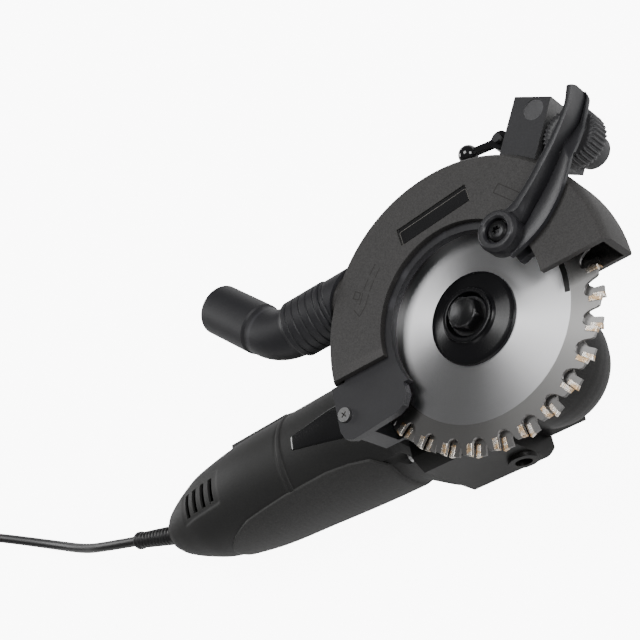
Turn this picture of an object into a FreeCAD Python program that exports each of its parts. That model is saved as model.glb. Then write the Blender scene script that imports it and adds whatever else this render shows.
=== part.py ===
import FreeCAD, Part
import math
import os
import re

import Sketcher
from FreeCAD import Placement, Rotation, Vector

# A hand-held circular saw with two blades that turn against each other on one axis.
# The saw lies on its side.  X runs along the motor axis towards the blades, Z is the
# blade axis, and the origin is the flat end of the gear head, on the blade axis.

doc = FreeCAD.newDocument("circular_saw")
sheet = doc.addObject("Spreadsheet::Sheet", "Sizes")

SIZES = {
    # blade axis
    "motor_height": 29.5, "blade_top": 83.5, "plate_thick": 1.4, "plate_gap": 1.6,
    "blade_radius": 57.5, "tooth_count": 28, "tip_width": 2.0, "tip_depth": 2.2,
    "tip_length": 5.4, "tip_lean": 6, "tooth_phase": 8.9, "gullet_depth": 7.2, "tooth_land": 4.6,
    "slot_radius": 43.4, "slot_width": 1.8, "slot_count": 4,
    "flange_radius": 20, "flange_rim": 1.5, "flange_cone": 4.0, "boss_radius": 11.5,
    "boss_height": 6.2, "boss_hollow": 9.6, "head_flat": 13, "head_height": 5.3,
    "bolt_radius": 4, "bolt_length": 24, "washer_height": 1.2, "washer_radius": 8.6,
    "seat_radius": "=flange_radius - 3", "seat_thick": 1.1, "spindle_radius": 6, "journal_radius": 4,
    "hollow_bore": "=spindle_radius + 0.5", "hollow_radius": "=hollow_bore + 3.5", "running_gap": 0.03,
    "blade_bore": "=hollow_radius", "flange_screw_ring": "=hollow_radius + 3.5", "screw_radius": 2, "screw_head": 3.5,
    "sink_radius": 3.3, "body_gap": 0.3,
    # gears
    "gear_radius": 21.6, "pinion_radius": 5.4, "gear_teeth": 36, "pinion_teeth": 9,
    "gear_face": 6, "addendum": 0.9, "dedendum": 1.15, "tooth_share": 0.40,
    "gear_back": 7, "hub_radius": 10.5, "hub_drop": 3.6,
    # bearings
    "small_bearing": 11, "small_bearing_width": 7, "main_bearing": "=hollow_radius + 6", "main_bearing_width": 7,
    "bearing_floor": 5.5, "first_main": 45, "second_main": 60, "bush_length": 8,
    # gear head
    "head_offset_x": -3, "head_offset_y": -2, "head_radius": 31, "head_flat_radius": 13,
    "head_curve": 36, "head_height_all": 57, "gear_room": "=gear_radius + 1.7", "box_front": -20, "box_back": -60,
    "box_half": 37, "box_round": 42, "shaft_room": 22, "handle_boss": 7, "handle_x": -27,
    "handle_z": 20, "handle_end": -39, "handle_thread": 4, "handle_depth": 14,
    "cover_thick": 4, "neck_radius": "=main_bearing + 4", "neck_top": 72, "neck_drop": 13, "cover_screw_ring": "=neck_radius + 7.4",
    # guard
    "guard_radius": "=blade_radius + 11", "guard_top": 95.5, "guard_bottom": 73.5, "guard_wall": 2.9,
    "guard_front_wall": 3, "guard_back_wall": 2.5, "guard_opening": 39, "guard_back_opening": 21,
    "sole_line": -2, "guard_crown": 3, "mount_radius": "=neck_radius + 9", "mount_screw_ring": "=neck_radius + 5",
    "badge_x": 0, "badge_y": 46.8, "badge_length": 36, "badge_width": 7.6, "badge_depth": 0.8,
    "badge_turn": 4, "port_y": 38, "port_radius": 11, "port_bore": "=port_radius - 2", "port_end": "=-guard_radius - 8.5",
    "port_start": "=-guard_radius + 16.5",
    # bracket
    "ring_inner": 35.5, "ring_outer": 42, "bracket_thick": 3.6, "lobe_left": "=leg_inner - 8.5",
    "lobe_right": -35, "lobe_bottom": -29.5, "lobe_corner": 6, "leg_inner": "=-blade_radius - 4",
    "leg_low": 60, "leg_front": -44, "bracket_screw_x": "=leg_inner - 4.1", "bracket_screw_y": -17.5,
    # stick feed
    "chamber_turn": 57, "chamber_offset": 3.6, "chamber_width": "=2 * stick_side", "chamber_low": 70.5,
    "chamber_height": 18, "chamber_end": "=guard_radius + 27", "stick_side": 9, "stick_offset": 2.4, "stick_length": 17,
    "stick_start": "=blade_radius + 9.1", "pin_along": "=chamber_end - 5.8", "pin_across": 5.6, "pin_radius": 4.7,
    "knob_along": "=chamber_end - 15.9", "knob_across": 25.3, "knob_radius": 12.2, "knob_low": 77.5,
    "knob_height": 11, "knob_ribs": 36, "rib_depth": 0.8, "axle_radius": 3,
    "arm_low": 67, "arm_high": 77.2, "feed_radius": 4, "rack_width": 3.8, "feed_travel": 6,
    "lug_along": "=chamber_end - 17.8",
    "lug_across": "=chamber_offset - chamber_width / 2 - 4.9", "lug_radius": 4.2, "ball_x": "=(guard_radius + 6.93) * 0.2307",
    "ball_y": "=(guard_radius + 6.93) * 0.9731",
    "ball_radius": 4.4, "lug_top": 80.5,
    # lever
    "lever_x": 30, "lever_y": 18.5, "lever_hub": 9, "lever_low": 96.2, "lever_high": 103.5,
    "lever_web": 99, "lever_bore": 3, "lever_screw_head": 4.6, "lever_hub_top": 105.5,
    # motor body
    "seam_x": -133, "tail_x": -226, "shell_wall": 2.5, "front_radius": 29.5,
    "seam_radius": "=front_radius - 0.9", "waist_x": -170, "waist_radius": "=front_radius - 2.5", "rear_x": -198, "rear_radius": 22.5,
    "shoulder_x": -216, "shoulder_radius": 15.5, "tail_radius": 9, "flange_back": -74,
    "flange_radius_back": "=front_radius + 8.5", "flange_screw_y": 26, "flange_screw_z": 19,
    "grip_front": -78, "grip_back": -188, "grip_edge": -19, "grip_thick": 1.2,
    "vent_first": -180, "vent_step": -6.6, "vent_count": 4, "vent_width": 3.2, "vent_low": -5,
    "vent_high": 8, "panel_front": -84, "panel_back": -123, "panel_half": 9, "panel_thick": 0.4,
    # motor
    "shaft_radius": 4, "nose_radius": 3, "shaft_end": -158, "front_bearing_x": -39,
    "rear_bearing_x": -150, "core_radius": 16.5, "core_front": -81, "core_back": -123,
    "core_slots": 12, "slot_depth": 4, "stator_bore": "=core_radius + 0.7", "stator_radius": "=front_radius - 3.9",
    "winding_radius": "=core_radius - 2", "coil_inner": "=core_radius + 2", "commutator_radius": 9.5,
    "commutator_front": -131, "commutator_back": -144, "fan_x": -72, "fan_radius": "=front_radius - 5.5",
    "fan_blades": 11, "fan_depth": 7, "brush_x": -138, "brush_width": 6, "brush_height": 8,
    "brush_length": 9, "bulkhead": 8,
    # switch, trigger and lock
    "trigger_front": -139, "trigger_back": -177, "trigger_half": 7,
    "trigger_pivot_x": -142, "trigger_pivot_y": "=waist_radius - 6.5", "pin_wire": 1.5,
    "barrel_radius": 3, "lock_x": -188, "lock_radius": 4, "lock_out": "=waist_radius + 0.5", "lock_length": 9,
    "button_x": -3, "button_z": 15.2, "button_radius": 5.5, "button_out": 33.5,
    "lock_pin_radius": 1.5, "lock_pin_tip": 12.2,
    # dust elbow
    "elbow_radius": "=port_radius + 2.6", "elbow_gap": 0.06, "elbow_start": "=-guard_radius + 3.7",
    "elbow_bend_x": "=elbow_start - 22.2",
    "bend_radius": 26, "elbow_turn": 45, "neck_tube": 11.6, "duct_bore": 9.6,
    "collar_radius": 12.4, "collar_length": 31.5, "neck_run": 4,
    # strain relief, cord and plug
    "relief_length": 32, "relief_root": "=cord_radius + 2.7", "relief_tip": "=cord_radius + 1.4", "relief_turn": 14,
    "relief_foot": 6, "cord_radius": 2.8, "coil_x": -510, "coil_y": 51,
    "coil_rings": 5, "coil_middle": 33.6,
}

for row, name in enumerate(SIZES, start=1):
    sheet.set("A%d" % row, name)
    sheet.setAlias("B%d" % row, name)
for row, value in enumerate(SIZES.values(), start=1):
    sheet.set("B%d" % row, str(value))
doc.recompute()

NODES = {}
WORD = re.compile(r"[a-z_][a-z0-9_]*")
ALONG_X = Rotation(Vector(0, 1, 0), 90)
ALONG_BACK = Rotation(Vector(0, 1, 0), -90)
ALONG_Y = Rotation(Vector(1, 0, 0), -90)
ALONG_FRONT = Rotation(Vector(1, 0, 0), 90)


def bound(text):
    """The text of an expression, with each size named through the sheet."""
    return WORD.sub(lambda m: "Sizes." + m.group() if m.group() in SIZES else m.group(), str(text))


def number(text):
    """The value that an expression has now."""
    value = sheet.evalExpression(bound(text))
    return float(getattr(value, "Value", value))


def bind(thing, **properties):
    """Ties each property of an object to its expression."""
    for key, text in properties.items():
        thing.setExpression(key, bound(text))
    return thing


def place(thing, at, turn=None):
    """Puts an object at three expressions, turned by a rotation."""
    thing.Placement = Placement(Vector(), turn or Rotation())
    for axis, text in zip("xyz", at):
        thing.setExpression("Placement.Base." + axis, bound(text))
    return thing


def node(name, thing):
    """Names a finished sub-part, which is the name of its file."""
    thing.Label = name
    NODES[name] = thing
    return thing


def cylinder(radius, height, at=(0, 0, 0), turn=None):
    part = doc.addObject("Part::Cylinder", "cylinder")
    bind(part, Radius=radius, Height=height)
    return place(part, at, turn)


def cone(radius_low, radius_high, height, at=(0, 0, 0), turn=None):
    part = doc.addObject("Part::Cone", "cone")
    bind(part, Radius1=radius_low, Radius2=radius_high, Height=height)
    return place(part, at, turn)


def box(low, high, turn=None):
    """A box between two corners, turned about the blade axis where a turn is given."""
    part = doc.addObject("Part::Box", "box")
    for key, a, b in zip(("Length", "Width", "Height"), low, high):
        part.setExpression(key, bound("(%s) - (%s)" % (b, a)))
    if turn is None:
        return place(part, low)
    place(part, (0, 0, low[2]), Rotation(Vector(0, 0, 1), number(turn)))
    along, across = low[0], low[1]
    cosine, sine = "cos(%s * 1 deg)" % turn, "sin(%s * 1 deg)" % turn
    bind(part, **{
        "Placement.Base.x": "(%s) * %s - (%s) * %s" % (along, cosine, across, sine),
        "Placement.Base.y": "(%s) * %s + (%s) * %s" % (along, sine, across, cosine),
    })
    return part


def sphere(radius, at):
    return place(bind(doc.addObject("Part::Sphere", "sphere"), Radius=radius), at)


def fuse(*parts):
    joined = doc.addObject("Part::MultiFuse", "fuse")
    joined.Shapes = list(parts)
    joined.Refine = True
    return joined


def cut(base, *tools):
    result = doc.addObject("Part::Cut", "cut")
    result.Base = base
    result.Tool = tools[0] if len(tools) == 1 else fuse(*tools)
    return result


def common(first, second):
    result = doc.addObject("Part::Common", "common")
    result.Base = first
    result.Tool = second
    return result


def group(parts):
    """Like pieces that share one node and stay separate solids."""
    result = doc.addObject("Part::Compound", "group")
    result.Links = list(parts)
    return result


def shaped(shape):
    """A shape that only Part's own functions can make."""
    part = doc.addObject("Part::Feature", "shape")
    part.Shape = shape
    return part


def tube(outer, inner, height, at=(0, 0, 0), turn=None):
    return cut(cylinder(outer, height, at, turn), cylinder(inner, height, at, turn))


def outline(body, plane, points):
    """A closed sketch of straight sides whose corners are tied to expressions."""
    sketch = body.newObject("Sketcher::SketchObject", "outline")
    support = [part for part in body.Origin.OriginFeatures if part.Role == plane][0]
    sketch.AttachmentSupport = [(support, "")]
    sketch.MapMode = "FlatFace"
    corners = [Vector(number(u), number(v), 0) for u, v in points]
    count = len(points)
    for i in range(count):
        sketch.addGeometry(Part.LineSegment(corners[i], corners[(i + 1) % count]), False)
    for i in range(count):
        sketch.addConstraint(Sketcher.Constraint("Coincident", i, 2, (i + 1) % count, 1))
    for i, (u, v) in enumerate(points):
        for kind, text in (("DistanceX", u), ("DistanceY", v)):
            index = sketch.addConstraint(Sketcher.Constraint(kind, -1, 1, i, 1, number(text)))
            sketch.setExpression("Constraints[%d]" % index, bound(text))
    return sketch


def turned(points, axis, at=(0, 0, 0)):
    """A body turned from (along, radius) points about X, or (radius, height) points about Z."""
    body = doc.addObject("PartDesign::Body", "turned")
    sketch = outline(body, "XZ_Plane", points)
    feature = body.newObject("PartDesign::Revolution", "revolution")
    feature.Profile = (sketch, [""])
    feature.ReferenceAxis = (sketch, ["H_Axis" if axis == "X" else "V_Axis"])
    feature.Angle = 360
    return place(body, at)


def padded(points, height, at=(0, 0, 0)):
    """A body of straight sides, padded up from the XY plane."""
    body = doc.addObject("PartDesign::Body", "padded")
    sketch = outline(body, "XY_Plane", points)
    feature = body.newObject("PartDesign::Pad", "pad")
    feature.Profile = (sketch, [""])
    feature.setExpression("Length", bound(height))
    return place(body, at)


def around(centre, radius, count, start=0):
    """Expressions of points spaced evenly round a circle."""
    for i in range(count):
        angle = "(%s + %d * 360 / %d) * 1 deg" % (start, i, count)
        yield ("%s + (%s) * cos(%s)" % (centre[0], radius, angle),
               "%s + (%s) * sin(%s)" % (centre[1], radius, angle))


def rotated(shape, degrees):
    """A copy turned about the blade axis."""
    turned_copy = shape.copy()
    turned_copy.rotate(Vector(0, 0, 0), Vector(0, 0, 1), degrees)
    return turned_copy


# Heights on the blade axis that several pieces share.
OUTER_LOW = "blade_top - plate_thick"
INNER_TOP = "blade_top - plate_thick - plate_gap"
INNER_LOW = "blade_top - 2 * plate_thick - plate_gap"
BACK_INSIDE = "guard_bottom + guard_back_wall"
FRONT_INSIDE = "guard_top - guard_front_wall"
COVER_TOP = "head_height_all + cover_thick"
LOCK_HOLES = 8
STICK_NEAR = "stick_offset - stick_side / 2"
STICK_FAR = "stick_offset + stick_side / 2"
STICK_LOW = "chamber_low + chamber_height / 2 - stick_side / 2"
STICK_HIGH = "chamber_low + chamber_height / 2 + stick_side / 2"


def blade_plate(low, facing, bore):
    """A disc with a gullet before each tooth, and four slots that let the rim grow with heat."""
    body = doc.addObject("PartDesign::Body", "blade")
    disc = body.newObject("Sketcher::SketchObject", "disc")
    plane = [part for part in body.Origin.OriginFeatures if part.Role == "XY_Plane"][0]
    disc.AttachmentSupport = [(plane, "")]
    disc.MapMode = "FlatFace"
    for radius in ("blade_radius - 0.5", bore):
        circle = disc.addGeometry(Part.Circle(Vector(), Vector(0, 0, 1), number(radius)), False)
        disc.addConstraint(Sketcher.Constraint("Coincident", circle, 3, -1, 1))
        index = disc.addConstraint(Sketcher.Constraint("Radius", circle, number(radius)))
        disc.setExpression("Constraints[%d]" % index, bound(radius))
    pad = body.newObject("PartDesign::Pad", "plate")
    pad.Profile = (disc, [""])
    pad.setExpression("Length", bound("plate_thick"))
    place(body, (0, 0, low), Rotation(Vector(0, 0, 1), number("tooth_phase")))
    # The gullet opens on the side that the teeth face, and rises in a slope to the next tooth.
    depth, rim = "blade_radius - gullet_depth", "blade_radius + 1"
    width = "blade_radius * 2 * pi / tooth_count - tooth_land"
    points = [(rim, 0), ("%s + 1.6" % depth, 0), (depth, "%s * 1.4" % facing),
              (depth, "%s * (%s) * 0.62" % (facing, width)),
              ("%s + 2.4" % depth, "%s * (%s) * 0.9" % (facing, width)),
              (rim, "%s * (%s)" % (facing, width))]
    gullet = outline(body, "XY_Plane", points)
    slit = outline(body, "XY_Plane", [
        ("slot_radius - 7", "-slot_width / 2"), ("slot_radius - 1", "-slot_width / 2 + 1.4"),
        ("slot_radius + 5", "-slot_width / 2 + 4.4"), ("slot_radius + 4", "slot_width / 2 + 4.6"),
        ("slot_radius - 2", "slot_width / 2 + 1.6"), ("slot_radius - 7", "slot_width / 2")])
    for sketch, count in ((gullet, "tooth_count"), (slit, "slot_count")):
        pocket = body.newObject("PartDesign::Pocket", "pocket")
        pocket.Profile = (sketch, [""])
        pocket.Type = "ThroughAll"
        pocket.Midplane = True
        pattern = body.newObject("PartDesign::PolarPattern", "pattern")
        pattern.Originals = [pocket]
        pattern.Axis = (disc, ["N_Axis"])
        pattern.Angle = 360
        pattern.setExpression("Occurrences", bound(count))
        body.Tip = pattern
    return body


def blade_tips(low, facing):
    """A carbide tip brazed behind each gullet, standing out past the plate."""
    reach, width = number("blade_radius"), number("tip_width")
    inside, depth = reach - number("tip_length"), number("tip_depth") * facing
    # An upright face towards the gullet, and a top that falls away behind the cutting edge.
    corners = [(inside, -depth), (inside, -0.02 * facing), (reach, -0.02 * facing),
               (reach - 0.5, -depth)]
    wire = Part.makePolygon([Vector(u, v, 0) for u, v in corners + corners[:1]])
    tip = Part.Face(wire).extrude(Vector(0, 0, width))
    tip.translate(Vector(0, 0, number(low) - (width - number("plate_thick")) / 2))
    step = 360 / number("tooth_count")
    start = number("tooth_phase")
    return [rotated(tip, start + i * step) for i in range(int(number("tooth_count")))]


def blades(sinks):
    for name, low, facing, bore in (
            ("outer_blade", OUTER_LOW, 1, "spindle_radius + running_gap"),
            ("inner_blade", INNER_LOW, -1, "blade_bore")):
        tips = Part.makeCompound(blade_tips(low, facing))
        node(name + "_tips", shaped(tips))
        plate = cut(blade_plate(low, facing, bore), shaped(tips.copy()))
        node(name, plate if name == "outer_blade" else cut(plate, *sinks))


def blade_clamp():
    """The polished flange, its washer and the hexagon-headed bolt that hold the outer blade."""
    top = "blade_top"
    profile = [("bolt_radius + 0.3", top), ("flange_radius", top),
               ("flange_radius", top + " + flange_rim"),
               ("boss_radius + 1", top + " + flange_cone"),
               ("boss_radius", top + " + boss_height"),
               ("boss_hollow", top + " + boss_height"),
               ("boss_hollow - 0.6", top + " + flange_cone - 1"),
               ("bolt_radius + 0.3", top + " + flange_cone - 1")]
    node("outer_flange", turned(profile, "Z"))
    rest = "blade_top + flange_cone - 1"
    hexagon = doc.addObject("Part::Prism", "hexagon")
    hexagon.Polygon = 6
    bind(hexagon, Circumradius="head_flat / 2 / cos(30 deg)", Height="head_height")
    place(hexagon, (0, 0, rest + " + washer_height"))
    crown = cone("head_flat / 2 / cos(30 deg) + 0.4", "head_flat / 2 - 0.4", "head_height + 1",
                 (0, 0, rest + " + washer_height - 1"))
    head = common(hexagon, crown)
    washer = cylinder("washer_radius", "washer_height", (0, 0, rest))
    shank = cylinder("bolt_radius", "bolt_length", (0, 0, rest + " - bolt_length"))
    node("blade_bolt", fuse(head, washer, shank))
    node("blade_seat", tube("seat_radius", "spindle_radius", "seat_thick",
                            (0, 0, OUTER_LOW + " - seat_thick")))


def spindles():
    foot = "bearing_floor + 0.5"
    shoulder = "bearing_floor + small_bearing_width + 1"
    shaft = fuse(
        cylinder("journal_radius", "%s - (%s)" % (shoulder, foot), (0, 0, foot)),
        cylinder("spindle_radius", "blade_top - 0.3 - (%s)" % shoulder, (0, 0, shoulder)))
    deep = "blade_top + flange_cone - 1 - bolt_length - 1"
    node("inner_spindle", cut(shaft, cylinder("bolt_radius + 0.02", 40, (0, 0, deep))))
    high = "motor_height + pinion_radius - 0.5"
    sleeve = fuse(
        cylinder("hollow_radius", "%s - 0.1 - (%s)" % (INNER_TOP, high), (0, 0, high)),
        cylinder("seat_radius", 2.5, (0, 0, INNER_LOW + " - 2.5")))
    bore = cylinder("hollow_bore", 80, (0, 0, 20))
    holes = [cylinder("screw_radius", 6, (x, y, INNER_LOW + " - 4"))
             for x, y in around((0, 0), "flange_screw_ring", 4, 20)]
    node("hollow_spindle", cut(sleeve, bore, *holes))
    rings = [tube("hollow_bore", "spindle_radius + running_gap", "bush_length", (0, 0, z))
             for z in ("first_main", "neck_top - bush_length - 2")]
    node("spindle_bushes", group(rings))


def blade_screws():
    """Countersunk screws that hold the inner blade to the flange of the hollow spindle."""
    screws, sinks = [], []
    for x, y in around((0, 0), "flange_screw_ring", 4, 20):
        shank = cylinder("screw_radius", "plate_thick + 2.3", (x, y, INNER_LOW + " - 2.3"))
        head = cone("screw_radius", "sink_radius", "plate_thick", (x, y, INNER_LOW))
        screws.append(fuse(shank, head))
        sinks.append(cone("screw_radius", "sink_radius", "plate_thick", (x, y, INNER_LOW)))
        sinks.append(cylinder("screw_radius", 3, (x, y, INNER_LOW + " - 1")))
    node("inner_blade_screws", group(screws))
    return sinks


def gear_tooth(pitch, other, reverse):
    """One tapered tooth of a straight bevel gear, whose edges all point at the cone's apex.

    The tooth stands on the pitch cone at angle zero.  The small end is the large end shrunk
    towards the apex by the share of the cone that the face takes up.
    """
    slant = math.hypot(pitch, other)
    cone_angle = math.atan2(pitch, other)
    along = Vector(math.sin(cone_angle), 0, math.cos(cone_angle))
    outward = Vector(math.cos(cone_angle), 0, -math.sin(cone_angle))
    spacing = 2 * math.pi * number("gear_radius") / number("gear_teeth")
    half = spacing * number("tooth_share") / 2
    slope = math.tan(math.radians(20))
    rise, sink = number("addendum"), number("dedendum") + 0.3
    section = [(-half - sink * slope, -sink), (half + sink * slope, -sink),
               (half - rise * slope, rise), (-half + rise * slope, rise)]
    small = (slant - number("gear_face")) / slant
    ends = []
    for scale in (1, small):
        ends.append([(along * slant + outward * up + Vector(0, side, 0)) * scale
                     for side, up in section])
    faces = [Part.Face(Part.makePolygon(end + end[:1])) for end in ends]
    for i in range(4):
        j = (i + 1) % 4
        ring = [ends[0][i], ends[0][j], ends[1][j], ends[1][i], ends[0][i]]
        faces.append(Part.Face(Part.makePolygon(ring)))
    tooth = Part.Solid(Part.makeShell(faces))
    if tooth.Volume < 0:
        tooth.reverse()
    return tooth if not reverse else tooth.mirror(Vector(), Vector(0, 0, 1))


def bevel_gear(pitch, other, count, phase, back, bore, hub_radius, hub):
    """A bevel gear with its apex at the origin and its teeth on the pitch cone about +Z."""
    root = number("dedendum")
    slant = math.hypot(pitch, other)
    cone_angle = math.atan2(pitch, other)
    share = (slant - number("gear_face")) / slant
    out_r = pitch - root * math.cos(cone_angle)
    out_z = other + root * math.sin(cone_angle)
    profile = [(bore, out_z * share), (out_r * share, out_z * share), (out_r, out_z),
               (out_r, other + back), (hub_radius, other + back), (hub_radius, other + back + hub),
               (bore, other + back + hub)]
    if hub == 0:
        profile = profile[:4] + [(bore, other + back)]
    wire = Part.makePolygon([Vector(r, 0, z) for r, z in profile + profile[:1]])
    blank = Part.Face(wire).revolve(Vector(), Vector(0, 0, 1), 360)
    blank = Part.Solid(blank) if blank.ShapeType == "Shell" else blank
    tooth = gear_tooth(pitch, other, False)
    teeth = [rotated(tooth, phase + i * 360 / count) for i in range(count)]
    return blank.multiFuse(teeth)


def gears():
    """Two facing bevel gears that one pinion drives in opposite directions."""
    wheel, pin = number("gear_radius"), number("pinion_radius")
    teeth, pin_teeth = int(number("gear_teeth")), int(number("pinion_teeth"))
    step = 360 / teeth
    apex = Vector(0, 0, number("motor_height"))
    back = number("gear_back")
    upper = bevel_gear(wheel, pin, teeth, 180 + step / 2, back, number("hollow_radius"), 0, 0)
    upper.translate(apex)
    node("upper_gear", shaped(upper))
    lower = bevel_gear(wheel, pin, teeth, 0, back, number("spindle_radius"),
                       number("hub_radius"), number("hub_drop"))
    lower.rotate(Vector(), Vector(1, 0, 0), 180)
    lower.translate(apex)
    lower = shaped(lower)
    middle = "motor_height - pinion_radius - gear_back - hub_drop / 2"
    holes = [cylinder("lock_pin_radius + 0.3", 5, (x, y, middle),
                      Rotation(Vector(0, 0, 1), 360 / LOCK_HOLES * i) * ALONG_X)
             for i, (x, y) in enumerate(around((0, 0), "hub_radius - 3.5", LOCK_HOLES))]
    node("lower_gear", cut(lower, *holes))
    pinion = bevel_gear(pin, wheel, pin_teeth, 0, 1.5, number("nose_radius"), 0, 0)
    pinion.rotate(Vector(), Vector(0, 1, 0), -90)
    pinion.translate(apex)
    bore = cylinder("nose_radius", 20, ("-32", 0, "motor_height"), ALONG_X)
    node("bevel_pinion", cut(shaped(pinion), bore))


def gear_head():
    """The cast gear housing: a domed head on the blade axis and a box towards the motor."""
    x, y = "head_offset_x", "head_offset_y"
    steps = 8
    curve = [("0", "0")]
    for i in range(steps + 1):
        angle = "(%d * 90 / %d * 1 deg)" % (i, steps)
        curve.append(("head_flat_radius + (head_radius - head_flat_radius) * sin%s" % angle,
                      "head_curve - head_curve * cos%s" % angle))
    curve += [("head_radius", "head_height_all"), ("0", "head_height_all")]
    dome = turned(curve, "Z", (x, y, 0))
    block = common(box(("box_back", "-box_half", 0), ("box_front", "box_half", "head_height_all")),
                   cylinder("box_round", "box_front - box_back", ("box_back", 0, "motor_height"),
                            ALONG_X))
    web = box(("box_front - 1", "-head_radius + 5", 4), ("0", "head_radius - 8", "head_height_all"))
    boss = cylinder("handle_boss", "box_half - 8 - (-handle_end - 10) + 20",
                    ("handle_x", "handle_end", "handle_z"), ALONG_Y)
    guide = cylinder("button_radius + 1.8", 10, ("button_x + 3", "button_out - 12.5", "button_z"), ALONG_Y)
    body = fuse(dome, block, web, boss, guide)
    gear_room = cylinder("gear_room", 60, (0, 0, "bearing_floor + small_bearing_width"))
    shaft_room = cylinder("shaft_room", "-box_back", ("box_back", 0, "motor_height"), ALONG_X)
    seat = cylinder("small_bearing", 20, (0, 0, "bearing_floor"))
    thread = cylinder("handle_thread", "handle_depth", ("handle_x", "handle_end", "handle_z"), ALONG_Y)
    plunger = cylinder("lock_pin_radius + 0.05", 40, ("button_x + 3", "10", "button_z"), ALONG_Y)
    well = cylinder("button_radius + 0.1", 20, ("button_x + 3", "button_out - 7.8", "button_z"),
                    ALONG_Y)
    screws = [cylinder("screw_radius", 12, (sx, sy, "head_height_all - 10"))
              for sx, sy in around(("head_offset_x", "head_offset_y"), "cover_screw_ring", 4, 45)]
    flange = [cylinder("screw_radius", 12, ("box_back", "%s * flange_screw_y" % a,
                                            "motor_height + %s * flange_screw_z" % b), ALONG_X)
              for a in (-1, 1) for b in (-1, 1)]
    toe = cylinder("screw_radius", 8, ("leg_front - 6", "bracket_screw_y + 2",
                                       "head_height_all - 6"))
    node("gear_housing", cut(body, gear_room, shaft_room, seat, thread, plunger, well, toe,
                             *screws, *flange))


def gearbox_cover():
    plate = cylinder("head_radius", "cover_thick", ("head_offset_x", "head_offset_y",
                                                     "head_height_all"))
    neck = cylinder("neck_radius", "neck_top - head_height_all + neck_drop",
                    (0, 0, "head_height_all - neck_drop"))
    room = cylinder("main_bearing", "second_main + main_bearing_width - first_main + 1",
                    (0, 0, "first_main - 1"))
    lip = cylinder("hollow_radius + 0.4", 30, (0, 0, "second_main"))
    holes, screws = [], []
    for x, y in around(("head_offset_x", "head_offset_y"), "cover_screw_ring", 4, 45):
        holes.append(cylinder("screw_radius", 30, (x, y, "head_height_all - 8")))
        shank = cylinder("screw_radius", "cover_thick + 8", (x, y, "head_height_all - 8"))
        head = cylinder("screw_head", 2.6, (x, y, COVER_TOP))
        screws.append(fuse(shank, head))
    node("gearbox_cover", cut(fuse(plate, neck), room, lip, *holes))
    node("gearbox_screws", group(screws))


def bearings():
    def race(outer, inner, width, at, turn=None):
        return tube(outer, inner + " + running_gap", width, at, turn)
    main = [race("main_bearing", "hollow_radius", "main_bearing_width", (0, 0, z))
            for z in ("first_main", "second_main")]
    node("hollow_spindle_bearings", group(main))
    node("spindle_foot_bearing", race("small_bearing", "journal_radius", "small_bearing_width",
                                      (0, 0, "bearing_floor")))
    ends = [race("small_bearing", "shaft_radius", "small_bearing_width", (x, 0, "motor_height"),
                 ALONG_BACK) for x in ("front_bearing_x", "rear_bearing_x")]
    node("armature_bearings", group(ends))
    plate = fuse(cylinder("shaft_room", 4, ("box_back", 0, "motor_height"), ALONG_X),
                 cylinder("small_bearing + 3.5", "front_bearing_x - box_back",
                          ("box_back", 0, "motor_height"), ALONG_X))
    seat = cylinder("small_bearing", "small_bearing_width",
                    ("front_bearing_x", 0, "motor_height"), ALONG_BACK)
    hole = cylinder("shaft_radius + 1", 40, ("box_back - 5", 0, "motor_height"), ALONG_X)
    node("bearing_plate", cut(plate, seat, hole))


def guard():
    """The cast guard: a half drum round the blades, cut off straight along the sole."""
    crown = [("0", "guard_bottom"), ("guard_radius - 1", "guard_bottom"),
             ("guard_radius", "guard_bottom + 1"), ("guard_radius", "guard_top - guard_crown - 1"),
             ("guard_radius - 0.8", "guard_top - guard_crown / 2 - 0.5"),
             ("guard_radius - guard_crown + 0.6", "guard_top"), ("0", "guard_top")]
    drum = turned(crown, "Z")
    room = cylinder("guard_radius - guard_wall", "%s - (%s)" % (FRONT_INSIDE, BACK_INSIDE),
                    (0, 0, BACK_INSIDE))
    opening = cylinder("guard_opening", 10, (0, 0, "guard_top - 8"))
    back = cylinder("guard_back_opening", 10, (0, 0, "guard_bottom - 5"))
    below = box(("-100", "-100", "guard_bottom - 5"), ("100", "sole_line", "guard_top + 5"))
    slot = across_box(("guard_radius - 9", "guard_radius + 9"),
                      (STICK_NEAR + " - body_gap", STICK_FAR + " + body_gap"),
                      (STICK_LOW + " - body_gap", STICK_HIGH + " + body_gap"), "chamber_turn")
    middle = "(guard_top + guard_bottom) / 2"
    port = cylinder("port_radius", "port_start - port_end", ("port_end", "port_y", middle), ALONG_X)
    inside = cylinder("guard_radius - guard_wall", 40, (0, 0, "guard_bottom - 5"))
    bore = cylinder("port_bore", "port_start - port_end + 12", ("port_end - 1", "port_y", middle),
                    ALONG_X)
    recess = plaque("0.4", "guard_top - badge_depth", 5)
    holes = [cylinder("screw_radius", 12, (x, y, "guard_bottom - 6"))
             for x, y in around((0, 0), "mount_screw_ring", 4, 22)]
    shell = cut(drum, room, opening, back)
    body = cut(fuse(shell, cut(port, inside)), bore, below, slot, recess, *holes)
    node("guard_shell", body)
    node("guard_badge", plaque("0", "guard_top - badge_depth", "badge_depth - 0.3"))
    ring = tube("mount_radius", "neck_radius", "guard_bottom - (%s)" % COVER_TOP, (0, 0, COVER_TOP))
    heads = [cylinder("screw_head + 0.3", 3.2, (x, y, COVER_TOP)) for x, y in
             around(("head_offset_x", "head_offset_y"), "cover_screw_ring", 4, 45)]
    node("guard_mount", cut(ring, *heads, *[cylinder("screw_radius", 12, (x, y, "guard_bottom - 8"))
                            for x, y in around((0, 0), "mount_screw_ring", 4, 22)]))
    screws = []
    for i, (x, y) in enumerate(around((0, 0), "mount_screw_ring", 4, 22)):
        if i < 2:
            shank = cylinder("screw_radius", "guard_back_wall + 8", (x, y, "guard_bottom - 8"))
            head = cylinder("screw_head", 1.6, (x, y, BACK_INSIDE))
            screws.append(fuse(shank, head))
    node("guard_screws", group(screws))


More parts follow.
